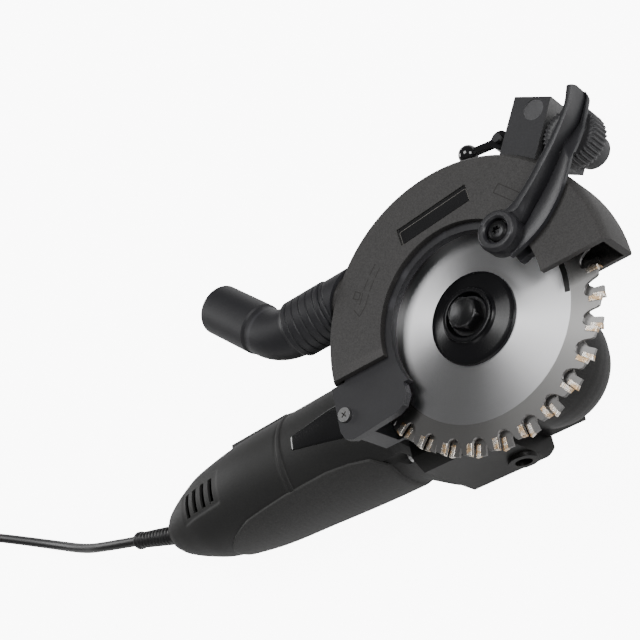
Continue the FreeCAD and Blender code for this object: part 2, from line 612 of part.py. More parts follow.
def plaque(grow, low, height):
    """A slim plate that leans with the name recess of the guard."""
    part = doc.addObject("Part::Box", "plaque")
    bind(part, Length="badge_length + 2 * (%s)" % grow, Width="badge_width + 2 * (%s)" % grow,
         Height=height)
    turn = Rotation(Vector(0, 0, 1), number("badge_turn"))
    return place(part, ("badge_x - badge_length / 2 - (%s)" % grow,
                        "badge_y - badge_width / 2 - (%s) - 1.2" % grow, low), turn)


def guard_bracket():
    """The smooth bracket below the sole line: a ring sector, a rounded lobe and a leg."""
    low = "guard_top - guard_front_wall - bracket_thick"
    ring = tube("ring_outer", "ring_inner", "bracket_thick", (0, 0, low))
    keep = fuse(box(("-60", "-16", "0"), ("0", "60", "120")), box(("-1", "9", "0"), ("60", "60", "120")))
    corner = "lobe_corner"
    lobe = padded([("lobe_left", "sole_line - 1"), ("lobe_left", "lobe_bottom + lobe_corner"),
                   ("lobe_left + lobe_corner * 0.3", "lobe_bottom + lobe_corner * 0.3"),
                   ("lobe_left + lobe_corner", "lobe_bottom"),
                   ("lobe_right - lobe_corner", "lobe_bottom + 2.2"),
                   ("lobe_right - lobe_corner * 0.3", "lobe_bottom + 4"),
                   ("lobe_right + 1.2", "lobe_bottom + 8.6"),
                   ("lobe_right - 1", "sole_line + 1"), ("lobe_right - 7", "sole_line + 6"),
                   ("lobe_left + 12", "sole_line + 6"), ("lobe_left + 7", "sole_line - 1")],
                  "bracket_thick", (0, 0, low))
    post = cylinder("lever_hub - 1", "lever_low - 0.3 - (%s)" % low, ("lever_x", "lever_y", low))
    clear = cylinder("guard_opening + 20", 10, (0, 0, FRONT_INSIDE))
    clear = cut(clear, cylinder("guard_opening - 0.1", 12, (0, 0, FRONT_INSIDE + " - 1")))
    leg = box(("lobe_left", "lobe_bottom + lobe_corner", "leg_low"),
              ("leg_inner", "sole_line - 1", low))
    foot = box(("box_back + body_gap", "lobe_bottom + lobe_corner", "head_height_all"),
               ("leg_front", "sole_line - 1", "head_height_all + 5"))
    toe = box(("leg_inner - 1", "lobe_bottom + lobe_corner", "leg_low"),
              ("box_back + 1", "sole_line - 1", "head_height_all + 5"))
    cap = cylinder("lever_hub + 1.5", "bracket_thick", ("lever_x", "lever_y", low))
    body = cut(fuse(common(ring, keep), lobe, cut(post, clear), leg, foot, toe, cap),
               cylinder("ring_inner - 4", 20, (0, 0, low + " - 5")),
               cylinder("head_radius + 0.3", 20, ("head_offset_x", "head_offset_y",
                                                  "head_height_all - 1")))
    holes = [cylinder("screw_radius", 14, ("bracket_screw_x", "bracket_screw_y",
                                           FRONT_INSIDE + " - 12")),
             cylinder("screw_radius", 14, ("leg_front - 6", "bracket_screw_y + 2",
                                           "head_height_all - 1")),
             cylinder("lever_bore", 12, ("lever_x", "lever_y", "lever_low - 7"))]
    node("guard_bracket", cut(body, *holes))
    visible = fuse(cylinder("screw_radius", 11, ("bracket_screw_x", "bracket_screw_y",
                                                 FRONT_INSIDE + " - 11")),
                   cylinder("screw_head - 0.3", 1.4, ("bracket_screw_x", "bracket_screw_y",
                                                      FRONT_INSIDE)))
    lower = fuse(cylinder("screw_radius", 10, ("leg_front - 6", "bracket_screw_y + 2",
                                               "head_height_all - 5")),
                 cylinder("screw_head", 2, ("leg_front - 6", "bracket_screw_y + 2",
                                            "head_height_all + 5")))
    node("bracket_screws", group([visible, lower]))


def across_box(along, across, heights, turn):
    """A box in the feed block's own directions: along it and across it, then turned."""
    low, high = zip(along, across, heights)
    flipped_low = (low[0], "-(%s)" % high[1], low[2])
    flipped_high = (high[0], "-(%s)" % low[1], high[2])
    return box(flipped_low, flipped_high, turn)


def feed_point(along, across):
    """Expressions of a point given along and across the feed block."""
    turn = "(chamber_turn * 1 deg)"
    return ("(%s) * cos%s + (%s) * sin%s" % (along, turn, across, turn),
            "(%s) * sin%s - (%s) * cos%s" % (along, turn, across, turn))


def feed_block():
    """The block that steers a stick of cutting wax onto the blades, with an arm for its wheel."""
    turn = "chamber_turn"
    near, far = "chamber_offset - chamber_width / 2", "chamber_offset + chamber_width / 2"
    top = "chamber_low + chamber_height"
    knob, lug = feed_point("knob_along", "knob_across"), feed_point("lug_along", "lug_across")
    pin = feed_point("pin_along", "pin_across")
    block = across_box(("guard_radius - 13.5", "chamber_end"), (near, far), ("chamber_low", top), turn)
    arm = fuse(across_box(("guard_radius + 1", "chamber_end - 4"), (far + " - 1", "knob_across - 2.3"),
                          ("arm_low", "arm_high"), turn),
               cylinder("feed_radius + 3.5", "arm_high - arm_low", knob + ("arm_low",)))
    seat = cylinder("guard_radius", 40, (0, 0, "chamber_low - 4"))
    channel = across_box(("guard_radius - 13.5", "chamber_end - 6.5"),
                         (STICK_NEAR + " - body_gap", STICK_FAR + " + body_gap"),
                         (STICK_LOW + " - body_gap", STICK_HIGH + " + body_gap"), turn)
    relief = cylinder("knob_radius + body_gap", 40, knob + ("arm_high",))
    rack_out = "knob_across - feed_radius - body_gap"
    rack_in = rack_out + " - rack_width"
    pocket = fuse(across_box(("guard_radius + 2.6", "chamber_end - 5.5"),
                             (rack_in + " - body_gap", rack_out + " + body_gap"),
                             ("arm_low + 2", "arm_high - 2.4"), turn),
                  cylinder("feed_radius + 0.6", "arm_high - arm_low - 4.4", knob + ("arm_low + 2",)))
    window = across_box(("guard_radius + 8", "chamber_end - 6.5"),
                        (STICK_FAR, rack_out + " + body_gap"),
                        ("arm_low + 3.7", "arm_high + 0.3"), turn)
    hole = cylinder("axle_radius + running_gap", 20, knob + ("arm_low + 5",))
    pin_hole = cylinder("pin_radius", 6, pin + (top + " - 2.6",))
    stand = fuse(cylinder("lug_radius", "lug_top - chamber_low", lug + ("chamber_low",)),
                 across_box(("lug_along - 3", "lug_along + 3"), ("lug_across", near),
                            ("chamber_low", "lug_top"), turn),
                 cylinder("pin_wire + 0.5", 8, lug + ("lug_top - 1",)))
    node("stick_chamber", fuse(cut(fuse(block, arm), seat, channel, relief, pocket, window, hole,
                                   pin_hole), stand))
    node("chamber_pin", cylinder("pin_radius", 2.3, pin + (top + " - 2.6",)))
    node("wax_stick", across_box(("stick_start", "stick_start + stick_length"),
                                 (STICK_NEAR, STICK_FAR), (STICK_LOW, STICK_HIGH), turn))
    reach = ("stick_start + stick_length", "stick_start + stick_length + 3")
    pusher = across_box(reach, (STICK_NEAR, STICK_FAR), (STICK_LOW, STICK_HIGH), turn)
    tab = across_box(reach, (STICK_FAR, rack_out), ("arm_low + 4", "arm_high - 0.6"), turn)
    rack = across_box(("knob_along - 1.4", reach[1]), (rack_in, rack_out),
                      ("arm_low + 2.6", "arm_high - 2.8"), turn)
    node("stick_pusher", fuse(pusher, tab, rack))
    rim = cylinder("knob_radius", "knob_height", knob + ("knob_low",))
    grooves = [cylinder("rib_depth", 30, (gx, gy, "knob_low - 5"))
               for gx, gy in around(knob, "knob_radius + 0.15", int(number("knob_ribs")))]
    axle = cylinder("axle_radius", "knob_low - arm_low - 5.5 + 1", knob + ("arm_low + 5.5",))
    wheel = cylinder("feed_radius", "arm_high - arm_low - 5.2", knob + ("arm_low + 2.4",))
    node("feed_knob", fuse(cut(rim, *grooves), axle, wheel))
    ball_lever(lug)


def ball_lever(lug):
    """The small lever that ends in a ball and locks the stick."""
    eye = tube("lug_radius", "pin_wire + 0.55", 4.2, lug + ("lug_top + body_gap",))
    ball = sphere("ball_radius", ("ball_x", "ball_y", "lug_top + 3"))
    ball.Placement.Rotation = Rotation(Vector(0, 0, 1), 180)
    start = Vector(number(lug[0]), number(lug[1]), 0)
    reach = Vector(number("ball_x"), number("ball_y"), 0) - start
    lean = Rotation(Vector(1, 0, 0), reach)
    stem = doc.addObject("Part::Box", "stem")
    bind(stem, Length=reach.Length - 4.4, Width=3, Height=3)
    step = lean.multVec(Vector(3.2, -1.5, 0))
    place(stem, ("%s + %f" % (lug[0], step.x), "%s + %f" % (lug[1], step.y), "lug_top + 1.5"), lean)
    node("ball_lever", fuse(eye, stem, ball))


def guard_lever():
    """The curved lever: a thin crescent web over the guard with a taller rib along its back."""
    hub_x, hub_y = number("lever_x"), number("lever_y")

    def crescent(points, low, high):
        a, b, c, d, e, f = [Vector(u, v, 0) for u, v in points]
        edges = [Part.Arc(a, b, c).toShape(), Part.LineSegment(c, d).toShape(),
                 Part.Arc(d, e, f).toShape(), Part.LineSegment(f, a).toShape()]
        shape = Part.Face(Part.Wire(edges)).extrude(Vector(0, 0, high - low))
        shape.translate(Vector(0, 0, low))
        return shape
    back = [(hub_x + 2, hub_y + 8.5), (54.5, 38.8), (75.6, 64)]
    low, high, web = number("lever_low"), number("lever_high"), number("lever_web")
    web_shape = crescent(back + [(78.8, 57), (60.5, 29.4), (hub_x, hub_y - 8.8)], low, web)
    rib_shape = crescent(back + [(79, 62.6), (58.5, 37.4), (hub_x + 8, hub_y + 2)], web, high)
    tail_low = number("knob_low + knob_height") + 1
    tail = crescent([(69.5, 52), (73, 57.4), (75.6, 64), (79, 60), (76.6, 53.2), (73.5, 48)],
                    tail_low, low)
    inside = Part.makeCylinder(number("guard_radius") + 0.6, 60, Vector(0, 0, 50))
    arm = web_shape.fuse([rib_shape, tail.cut(inside)]).removeSplitter()
    hub = cylinder("lever_hub", "lever_hub_top - lever_low", ("lever_x", "lever_y", "lever_low"))
    bore = cylinder("lever_bore + running_gap", 20, ("lever_x", "lever_y", "lever_low - 2"))
    well = cylinder("lever_screw_head + 0.5", 10, ("lever_x", "lever_y", "lever_hub_top - 3.4"))
    node("guard_lever", cut(fuse(shaped(arm), hub), bore, well))
    head = cylinder("lever_screw_head", 2.4, ("lever_x", "lever_y", "lever_hub_top - 3"))
    drive = cylinder("1.6", 4, ("lever_x", "lever_y", "lever_hub_top - 2.2"))
    shank = cylinder("lever_bore", "lever_hub_top - 3 - lever_low + 5",
                     ("lever_x", "lever_y", "lever_low - 5"))
    node("lever_screw", cut(fuse(head, shank), drive))


def body_profile(offset):
    """(along, radius) points down the tapering motor body, moved out by an offset."""
    points = [("seam_x", "seam_radius"), ("waist_x", "waist_radius"), ("rear_x", "rear_radius"),
              ("shoulder_x", "shoulder_radius"), ("tail_x", "tail_radius")]
    return [(x, "%s + (%s)" % (r, offset)) for x, r in points]


def motor_body():
    z = "motor_height"
    front = turned([("box_back", "front_radius - shell_wall"), ("box_back", "front_radius"),
                    ("-100", "front_radius"), ("seam_x", "seam_radius"),
                    ("seam_x", "seam_radius - shell_wall"), ("-100", "front_radius - shell_wall")],
                   "X", (0, 0, z))
    taper = cone("flange_radius_back", "front_radius", "box_back - flange_back",
                 ("box_back", 0, z), ALONG_BACK)
    inner = cylinder("front_radius - 1", 40, ("-80", 0, z), ALONG_X)
    lift = box(("-80", "-box_half", "0"), ("box_back", "box_half", "head_height_all"))
    flange = common(cut(taper, inner), lift)
    holes, screws = [], []
    for a in (-1, 1):
        for b in (-1, 1):
            at = ("box_back", "%d * flange_screw_y" % a, "motor_height + %d * flange_screw_z" % b)
            back = ("box_back - 3",) + at[1:]
            holes.append(cylinder("screw_radius", 20, ("box_back - 10",) + at[1:], ALONG_X))
            holes.append(cylinder("screw_head", 20, ("box_back - 23",) + at[1:], ALONG_X))
            screws.append(fuse(cylinder("screw_radius", 13, back, ALONG_X),
                               cylinder("screw_head - 0.1", 2.4, ("box_back - 5.4",) + at[1:], ALONG_X)))
    shell_inside = cylinder("front_radius - shell_wall", 40, ("-100", 0, z), ALONG_X)
    ribs = []
    for i in range(4):
        part = doc.addObject("Part::Box", "rib")
        bind(part, Length=16, Width=6, Height="front_radius - 1.4 - stator_radius")
        turn = Rotation(Vector(1, 0, 0), i * 90)
        shift = turn.multVec(Vector(0, -3, number("stator_radius")))
        ribs.append(place(part, ("core_front - 20", "%f" % shift.y, "%s + %f" % (z, shift.z)), turn))
    node("motor_housing", fuse(cut(fuse(front, flange), *holes, shell_inside), *ribs))
    node("flange_screws", group(screws))

    outer, inner_line = body_profile("0"), body_profile("-shell_wall")
    last = ("tail_x + shell_wall", "tail_radius - shell_wall / 2")
    rear = turned(outer + [("tail_x", "0"), ("tail_x + shell_wall", "0"), last]
                  + inner_line[-2::-1], "X", (0, 0, z))
    bulkhead = cylinder("waist_radius - 0.5", "bulkhead", ("rear_bearing_x", 0, z), ALONG_BACK)
    seat = cylinder("small_bearing", "small_bearing_width", ("rear_bearing_x", 0, z), ALONG_BACK)
    passage = cylinder("shaft_radius + 1", 30, ("shaft_end - 4", 0, z), ALONG_X)
    cable = box(("shaft_end - 6", "-22", z + " - 4"), ("rear_bearing_x + 4", "-14", z + " + 4"))
    exit_hole = cylinder("relief_root - 0.5", 20, ("tail_x - 5", 0, z), ALONG_X)
    vents = []
    for i in range(int(number("vent_count"))):
        x = "vent_first + %d * vent_step" % i
        vents.append(box(("%s - vent_width / 2" % x, "vent_low", "0"),
                         ("%s + vent_width / 2" % x, "vent_high", "80")))
    window = box(("trigger_back - 2.4", "trigger_pivot_y - 2.5", z + " - trigger_half - 0.5"),
                 ("trigger_front + 2", "60", z + " + trigger_half + 0.5"))
    lock_hole = cylinder("lock_radius + 0.3", 20, ("lock_x", "lock_out - 12.5", z), ALONG_Y)
    core = cylinder("6", 60, ("-215", 0, z), ALONG_X)
    shelves = [box((x, "-5", z + " - 24"), (x + " + 2", "5", z + " - 9")) for x in ("-182", "-168")]
    node("rear_cover", cut(fuse(rear, bulkhead, *shelves), seat, passage, cable, exit_hole, window, lock_hole,
                           *[cut(vent, core) for vent in vents]))

    grip_line = [("grip_front", "front_radius"), ("-100", "front_radius"), ("seam_x", "seam_radius"),
                 ("waist_x", "waist_radius"),
                 ("grip_back", "waist_radius + (rear_radius - waist_radius) * (grip_back - waist_x)"
                               " / (rear_x - waist_x)")]
    raised = [(x, r + " + grip_thick") for x, r in grip_line]
    band = turned(grip_line + raised[::-1], "X", (0, 0, z))
    side = box(("grip_back - 1", "-50", "2"), ("grip_front + 1", "grip_edge", "60"))
    node("grip_overmould", common(band, side))
    film = turned([("panel_front", "front_radius - 0.5"), ("panel_front", "front_radius + panel_thick"),
                   ("-100", "front_radius + panel_thick"),
                   ("panel_back", "seam_radius + panel_thick + 0.3"),
                   ("panel_back", "seam_radius - 0.5")], "X", (0, 0, z))
    wedge = padded([("panel_front", "-panel_half"), ("panel_back", "-2"), ("panel_back", "5"),
                    ("panel_back + 20", "panel_half"), ("panel_front", "panel_half")], 40, (0, 0, z))
    node("name_panel", cut(common(film, wedge),
                           turned([("panel_front + 5", "0"), ("panel_front + 5", "front_radius"),
                                   ("-100", "front_radius"), ("seam_x", "seam_radius"),
                                   ("seam_x", "0")], "X", (0, 0, z))))


def motor():
    z = "motor_height"
    shaft = fuse(cylinder("nose_radius", 14, ("-29", 0, z), ALONG_X),
                 cylinder("shaft_radius", "-29 - shaft_end", ("shaft_end", 0, z), ALONG_X))
    node("armature_shaft", shaft)
    core = tube("core_radius", "shaft_radius", "core_front - core_back", ("core_back", 0, z), ALONG_X)
    slots = []
    for i in range(int(number("core_slots"))):
        part = doc.addObject("Part::Box", "core_slot")
        bind(part, Length="core_front - core_back", Width=1.6, Height="slot_depth + 3")
        turn = Rotation(Vector(1, 0, 0), i * 360 / number("core_slots"))
        shift = turn.multVec(Vector(0, -0.8, number("core_radius - slot_depth")))
        slots.append(place(part, ("core_back", "%f" % shift.y, "%s + %f" % (z, shift.z)), turn))
    node("armature_core", cut(core, *slots))
    ends = [tube("winding_radius", "shaft_radius", 4.5, (x, 0, z), ALONG_X)
            for x in ("core_front", "core_back - 4.5")]
    node("armature_windings", group(ends))
    node("commutator", tube("commutator_radius", "shaft_radius",
                            "commutator_front - commutator_back", ("commutator_back", 0, z), ALONG_X))
    hub = fuse(tube("8", "shaft_radius", "fan_depth", ("fan_x", 0, z), ALONG_X),
               tube("fan_radius", "shaft_radius", 1.6, ("fan_x", 0, z), ALONG_X))
    vanes = []
    for i in range(int(number("fan_blades"))):
        part = doc.addObject("Part::Box", "vane")
        bind(part, Length="fan_depth", Width=1.2, Height="fan_radius - 8.5")
        turn = Rotation(Vector(1, 0, 0), i * 360 / number("fan_blades"))
        shift = turn.multVec(Vector(0, -0.6, 7.6))
        vanes.append(place(part, ("fan_x", "%f" % shift.y, "%s + %f" % (z, shift.z)), turn))
    node("cooling_fan", fuse(hub, *vanes))
    ring = tube("front_radius - shell_wall - 0.1", "stator_bore", "core_front - core_back",
                ("core_back", 0, z), ALONG_X)
    ring = common(ring, cylinder("stator_radius", 60, ("-135", 0, z), ALONG_X))
    node("stator", ring)
    coils = [tube("stator_radius - 1", "coil_inner", 4, (x, 0, z), ALONG_X)
             for x in ("core_front", "core_back - 4")]
    node("field_coils", group(coils))
    brushes, holders = [], []
    x0, x1 = "brush_x - brush_width / 2", "brush_x + brush_width / 2"
    half = "brush_height / 2"
    for near, far, rim, out in (
            ("commutator_radius + 0.25", "commutator_radius + 0.25 + brush_length", "13",
             "seam_radius - shell_wall - 0.9"),
            ("-commutator_radius - 0.25 - brush_length", "-commutator_radius - 0.25",
             "-seam_radius + shell_wall + 0.9", "-13")):
        brushes.append(box((x0, "-" + half, "%s + %s" % (z, near)), (x1, half, "%s + %s" % (z, far))))
        case = box((x0 + " - 1.6", "-%s - 1.6" % half, "%s + (%s)" % (z, rim)),
                   (x1 + " + 1.6", half + " + 1.6", "%s + (%s)" % (z, out)))
        room = box((x0 + " - 0.05", "-%s - 0.05" % half, "%s + (%s) - 1" % (z, rim)),
                   (x1 + " + 0.05", half + " + 0.05", "%s + (%s) + 1" % (z, out)))
        holders.append(cut(case, room))
    node("carbon_brushes", group(brushes))
    node("brush_holders", group(holders))


def controls():
    z = "motor_height"
    shell = turned([("trigger_back", "0"), ("trigger_back", "waist_radius + 3"),
                    ("trigger_front", "seam_radius + 2.6"), ("trigger_front", "0")], "X", (0, 0, z))
    slab = box(("trigger_back", "trigger_pivot_y + 1", z + " - trigger_half"),
               ("trigger_front", "40", z + " + trigger_half"))
    barrel = cylinder("barrel_radius", "2 * trigger_half", ("trigger_pivot_x", "trigger_pivot_y",
                                                            z + " - trigger_half"))
    pin_bore = cylinder("pin_wire + 0.05", "4 * trigger_half", ("trigger_pivot_x", "trigger_pivot_y",
                                                                z + " - 2 * trigger_half"))
    hollow = box(("trigger_back + 2", "trigger_pivot_y - 0.5", z + " - trigger_half + 2"),
                 ("trigger_pivot_x - 4.5", "trigger_pivot_y + 4.5", z + " + trigger_half - 2"))
    neck = box(("trigger_pivot_x - 3", "trigger_pivot_y", z + " - trigger_half"),
               ("trigger_pivot_x + 3", "trigger_pivot_y + 5.5", z + " + trigger_half"))
    node("paddle_trigger", cut(fuse(common(shell, slab), barrel, neck), pin_bore, hollow))
    node("trigger_pin", cylinder("pin_wire", "2 * trigger_half + 5", (
        "trigger_pivot_x", "trigger_pivot_y", z + " - trigger_half - 2.5")))
    switch = box(("-184", "-9", z + " - 9"), ("-163", "9", z + " + 9"))
    plunger = cylinder("2.2", "9", ("-172", "8", z), ALONG_Y)
    node("switch_module", fuse(switch, plunger))
    node("lock_off_button", cylinder("lock_radius", "lock_length", ("lock_x", "lock_out - lock_length", z),
                                      ALONG_Y))
    x = "button_x + 3"
    cap = cylinder("button_radius", "7", (x, "button_out - 5", "button_z"), ALONG_Y)
    pin = cylinder("lock_pin_radius", "button_out - 4 - lock_pin_tip", (x, "lock_pin_tip", "button_z"),
                   ALONG_Y)
    node("spindle_lock_button", fuse(cap, pin))


def dust_elbow():
    """The dust outlet: a ribbed sleeve that swivels on the guard's port, a bend and a collar."""
    z = "(guard_top + guard_bottom) / 2"
    y = "port_y"
    sleeve = cylinder("elbow_radius", "elbow_start - elbow_bend_x", ("elbow_bend_x", y, z), ALONG_X)
    grooves = []
    for i in range(4):
        x = "elbow_start - 4.5 - %d * 4.8" % i
        grooves.append(tube("elbow_radius + 3", "elbow_radius - 1.1", 1.6, (x, y, z), ALONG_X))
    bend = doc.addObject("Part::Torus", "bend")
    bind(bend, Radius1="bend_radius", Radius2="neck_tube", Angle3="elbow_turn")
    hollow_bend = doc.addObject("Part::Torus", "bend_bore")
    bind(hollow_bend, Radius1="bend_radius", Radius2="duct_bore", Angle3="elbow_turn")
    # The bend starts straight along -X and turns towards +Y about a point beside the port.
    swing = Rotation(Vector(0, 0, 1), 270 - number("elbow_turn"))
    for part in (bend, hollow_bend):
        place(part, ("elbow_bend_x", "port_y + bend_radius", z), swing)
    turn = "elbow_turn * 1 deg"
    end = ("elbow_bend_x - bend_radius * sin(%s)" % turn,
           "port_y + bend_radius - bend_radius * cos(%s)" % turn)
    out = Rotation(Vector(0, 0, 1), 180 - number("elbow_turn")) * ALONG_X

    def beyond(distance):
        return ("%s - (%s) * cos(%s)" % (end[0], distance, turn),
                "%s + (%s) * sin(%s)" % (end[1], distance, turn), z)
    neck = cylinder("neck_tube", "neck_run", beyond("0"), out)
    collar = cylinder("collar_radius", "collar_length", beyond("neck_run"), out)
    bore_in = cylinder("port_radius + elbow_gap", "elbow_start - port_end + 0.6",
                       ("port_end - 0.6", y, z), ALONG_X)
    bore_mid = cylinder("duct_bore", "port_end - elbow_bend_x", ("elbow_bend_x", y, z), ALONG_X)
    bore_out = cylinder("duct_bore", "neck_run + collar_length", beyond("0"), out)
    node("dust_elbow", cut(fuse(cut(sleeve, *grooves), bend, neck, collar),
                           fuse(bore_in, bore_mid, hollow_bend, bore_out)))


def strain_relief():
    """The tapered rubber sleeve that leads the cord out of the tail, leaning to one side."""
    z = "motor_height"
    lean = Rotation(Vector(0, 0, 1), -number("relief_turn")) * ALONG_BACK * Rotation(Vector(0, 0, 1), 45)
    aim = "(relief_turn * 1 deg)"

    def beyond(distance):
        return ("tail_x - (%s) * cos%s" % (distance, aim), "(%s) * sin%s" % (distance, aim), z)
    sleeve = cone("relief_root - 0.3", "relief_tip", "relief_length - 4", beyond("1"), lean)
    bead = cylinder("relief_tip + 0.6", 3, beyond("relief_length - 3"), lean)
    root = cylinder("relief_root", 2.4, ("tail_x", 0, z), ALONG_BACK)
    neck = cylinder("relief_root - 0.5", 6, ("tail_x", 0, z), ALONG_X)
    collar = cylinder("relief_root + 1", 3, ("tail_x + shell_wall", 0, z), ALONG_X)
    node("strain_relief", fuse(sleeve, bead, root, neck, collar))


def cord_route():
    """Points chosen by hand, from the sleeve's tip down to the bench and round to the coil."""
    return [Vector(*point) for point in (
        (-257.0, 7.7, 29.5), (-287.0, 15.6, 26.5), (-318.0, 28.0, 13.0), (-352.0, 44.5, 3.0),
        (-404.0, 68.6, 2.9), (-440.0, 84.0, 2.9), (-470.0, 92.6, 2.9), (-496.0, 95.8, 2.9))]


def plug_route():
    return [Vector(*point) for point in (
        (-508.0, 6.2, 8.4), (-491.0, 5.2, 7.9), (-474.0, 1.6, 6.4), (-458.0, -4.0, 6.0))]


def arc_path(points):
    """Straight runs joined by tangent arcs; prints the radii and returns the wire and length."""
    start, edges, radii, length = points[0], [], [], 0
    for before, corner, after in zip(points, points[1:], points[2:]):
        u, v = (before - corner).normalize(), (after - corner).normalize()
        shorter = min((before - corner).Length, (after - corner).Length)
        half_turn = (math.pi - u.getAngle(v)) / 2
        reach = 0.45 * shorter
        radius = reach / math.tan(half_turn)
        radii.append(round(radius, 1))
        first, last = corner + u * reach, corner + v * reach
        inward = (u + v).normalize()
        middle = corner + inward * (radius / math.cos(half_turn) - radius)
        edges.append(Part.LineSegment(start, first).toShape())
        edges.append(Part.Arc(first, middle, last).toShape())
        start = last
    edges.append(Part.LineSegment(start, points[-1]).toShape())
    length = sum(edge.Length for edge in edges)
    print("arc radii", radii, "length", round(length, 1))
    return Part.Wire(edges), length


def cord():
    radius = number("cord_radius")
    tubes = []
    for route in (cord_route(), plug_route()):
        wire, length = arc_path(route)
        direction = (route[1] - route[0]).normalize()
        circle = Part.Wire(Part.Circle(route[0], direction, radius).toShape())
        solid = wire.makePipeShell([circle], True, False)
        print("volume ratio", round(solid.Volume / (math.pi * radius ** 2 * length), 4))
        tubes.append(solid)
    node("power_cord", shaped(Part.makeCompound(tubes)))
    reach = "coil_rings * cord_radius"
    node("cord_coil", tube("coil_middle + " + reach, "coil_middle - " + reach, "4 * cord_radius",
                           ("coil_x", "coil_y", 0)))
    end, before = plug_route()[-1], plug_route()[-2]
    way = Vector(end.x - before.x, end.y - before.y, 0).normalize()
    lean = Rotation(Vector(1, 0, 0), way)

    def part_of(low, high):
        piece = doc.addObject("Part::Box", "plug_part")
        size = [h - l for l, h in zip(low, high)]
        bind(piece, Length=size[0], Width=size[1], Height=size[2])
        corner = end + lean.multVec(Vector(low[0], low[1], 0))
        piece.Placement = Placement(Vector(corner.x, corner.y, low[2]), lean)
        return piece
    neck = shaped(Part.makeCone(4.0, 5.6, 12, Vector(), Vector(1, 0, 0)))
    neck.Placement = Placement(end, lean)
    node("plug", fuse(neck, part_of((11, -11, 0), (38, 11, 17))))
    node("plug_pins", group([part_of((38, -7.1, 5.3), (55, -5.6, 11.7)),
                             part_of((38, 5.6, 5.3), (55, 7.1, 11.7))]))


blade_clamp()
blades(blade_screws())
spindles()
gears()
gear_head()
gearbox_cover()
bearings()
guard()
guard_bracket()
feed_block()
guard_lever()
motor_body()
motor()
controls()
dust_elbow()
strain_relief()
cord()

doc.recompute()
wrong = [thing.Name + " " + thing.Label for thing in doc.Objects
         if "Invalid" in thing.State or "Error" in thing.State]
wrong += [name for name, thing in NODES.items()
          if thing.Shape.isNull() or not thing.Shape.isValid()]
if wrong:
    raise SystemExit("not sound: " + ", ".join(wrong))
os.makedirs("parts", exist_ok=True)
for name, thing in NODES.items():
    thing.Shape.exportStep("parts/" + name + ".step")
print(len(NODES), "nodes written")
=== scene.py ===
import math

import bmesh
import bpy
import numpy as np
from mathutils import Matrix, Vector


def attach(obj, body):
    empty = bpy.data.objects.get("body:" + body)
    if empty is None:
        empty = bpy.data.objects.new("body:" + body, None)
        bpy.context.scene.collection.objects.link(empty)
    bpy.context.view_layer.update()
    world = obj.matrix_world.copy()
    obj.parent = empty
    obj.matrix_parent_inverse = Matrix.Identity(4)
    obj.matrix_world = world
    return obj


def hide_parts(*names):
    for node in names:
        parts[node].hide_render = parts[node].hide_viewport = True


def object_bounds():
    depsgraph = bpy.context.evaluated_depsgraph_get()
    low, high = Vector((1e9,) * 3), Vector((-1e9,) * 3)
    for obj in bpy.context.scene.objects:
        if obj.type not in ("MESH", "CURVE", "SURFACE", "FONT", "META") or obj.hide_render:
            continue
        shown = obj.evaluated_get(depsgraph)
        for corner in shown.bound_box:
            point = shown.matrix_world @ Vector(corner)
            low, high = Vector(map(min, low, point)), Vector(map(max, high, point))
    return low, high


# A corded saw with two blades on one axis that turn against each other.  It lies on its
# side on a bench, blades up: X runs along the motor towards the blades, Z up the blade axis.
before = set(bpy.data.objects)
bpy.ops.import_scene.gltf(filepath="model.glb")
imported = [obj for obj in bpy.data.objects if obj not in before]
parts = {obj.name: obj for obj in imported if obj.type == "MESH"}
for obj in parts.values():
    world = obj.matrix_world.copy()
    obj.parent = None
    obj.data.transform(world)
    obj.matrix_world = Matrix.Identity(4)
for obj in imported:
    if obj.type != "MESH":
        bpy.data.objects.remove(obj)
cad_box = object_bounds()
cad_box = [[float(v) for v in corner] for corner in cad_box]
MM = 0.001

# ---------------------------------------------------------------------------
# Bench, camera and studio light
# The saw lies on a white sheet in a bright studio, seen from its front right and from
# above.  One softbox hangs overhead; weaker ones stand on the right, behind and in front.

right = Vector((0.7536, -0.1696, -0.6351))
forward = Vector((-0.4958, 0.4877, -0.7186)).normalized()
right = (right - forward * right.dot(forward)).normalized()
up = right.cross(forward)
lens = bpy.data.cameras.new("camera")
lens.lens, lens.sensor_width = 73.1, 36.0
lens.clip_start, lens.clip_end = 0.02, 20.0
camera = bpy.data.objects.new("camera", lens)
turn = Matrix((right, up, -forward)).transposed().to_4x4()
camera.matrix_world = Matrix.Translation((0.2156, -0.2488, 0.5051)) @ turn
bpy.context.collection.objects.link(camera)
bpy.context.scene.camera = camera


def softbox(name, towards, distance, size, watts):
    """A square area light of a size in metres, that far out in a direction, facing the saw."""
    lamp = bpy.data.lights.new(name, "AREA")
    lamp.shape, lamp.size, lamp.energy = "SQUARE", size, watts
    box = bpy.data.objects.new(name, lamp)
    away = Vector(towards).normalized()
    box.location = Vector((-0.05, 0.02, 0.05)) + away * distance
    box.rotation_euler = away.to_track_quat("Z", "Y").to_euler()
    bpy.context.collection.objects.link(box)


softbox("overhead_softbox", (-0.02, 0.22, 0.97), 1.3, 0.6, 8)
softbox("right_softbox", (0.80, -0.15, 0.58), 1.3, 0.5, 7)
softbox("back_softbox", (-0.85, 0.45, 0.28), 1.4, 0.5, 5)
softbox("front_fill", (-0.25, -0.9, 0.6), 1.6, 0.9, 2.5)
world = bpy.data.worlds.new("studio")
world.use_nodes = True
world.node_tree.nodes["Background"].inputs["Color"].default_value = (1, 1, 1, 1)
world.node_tree.nodes["Background"].inputs["Strength"].default_value = 0.10
bpy.context.scene.world = world


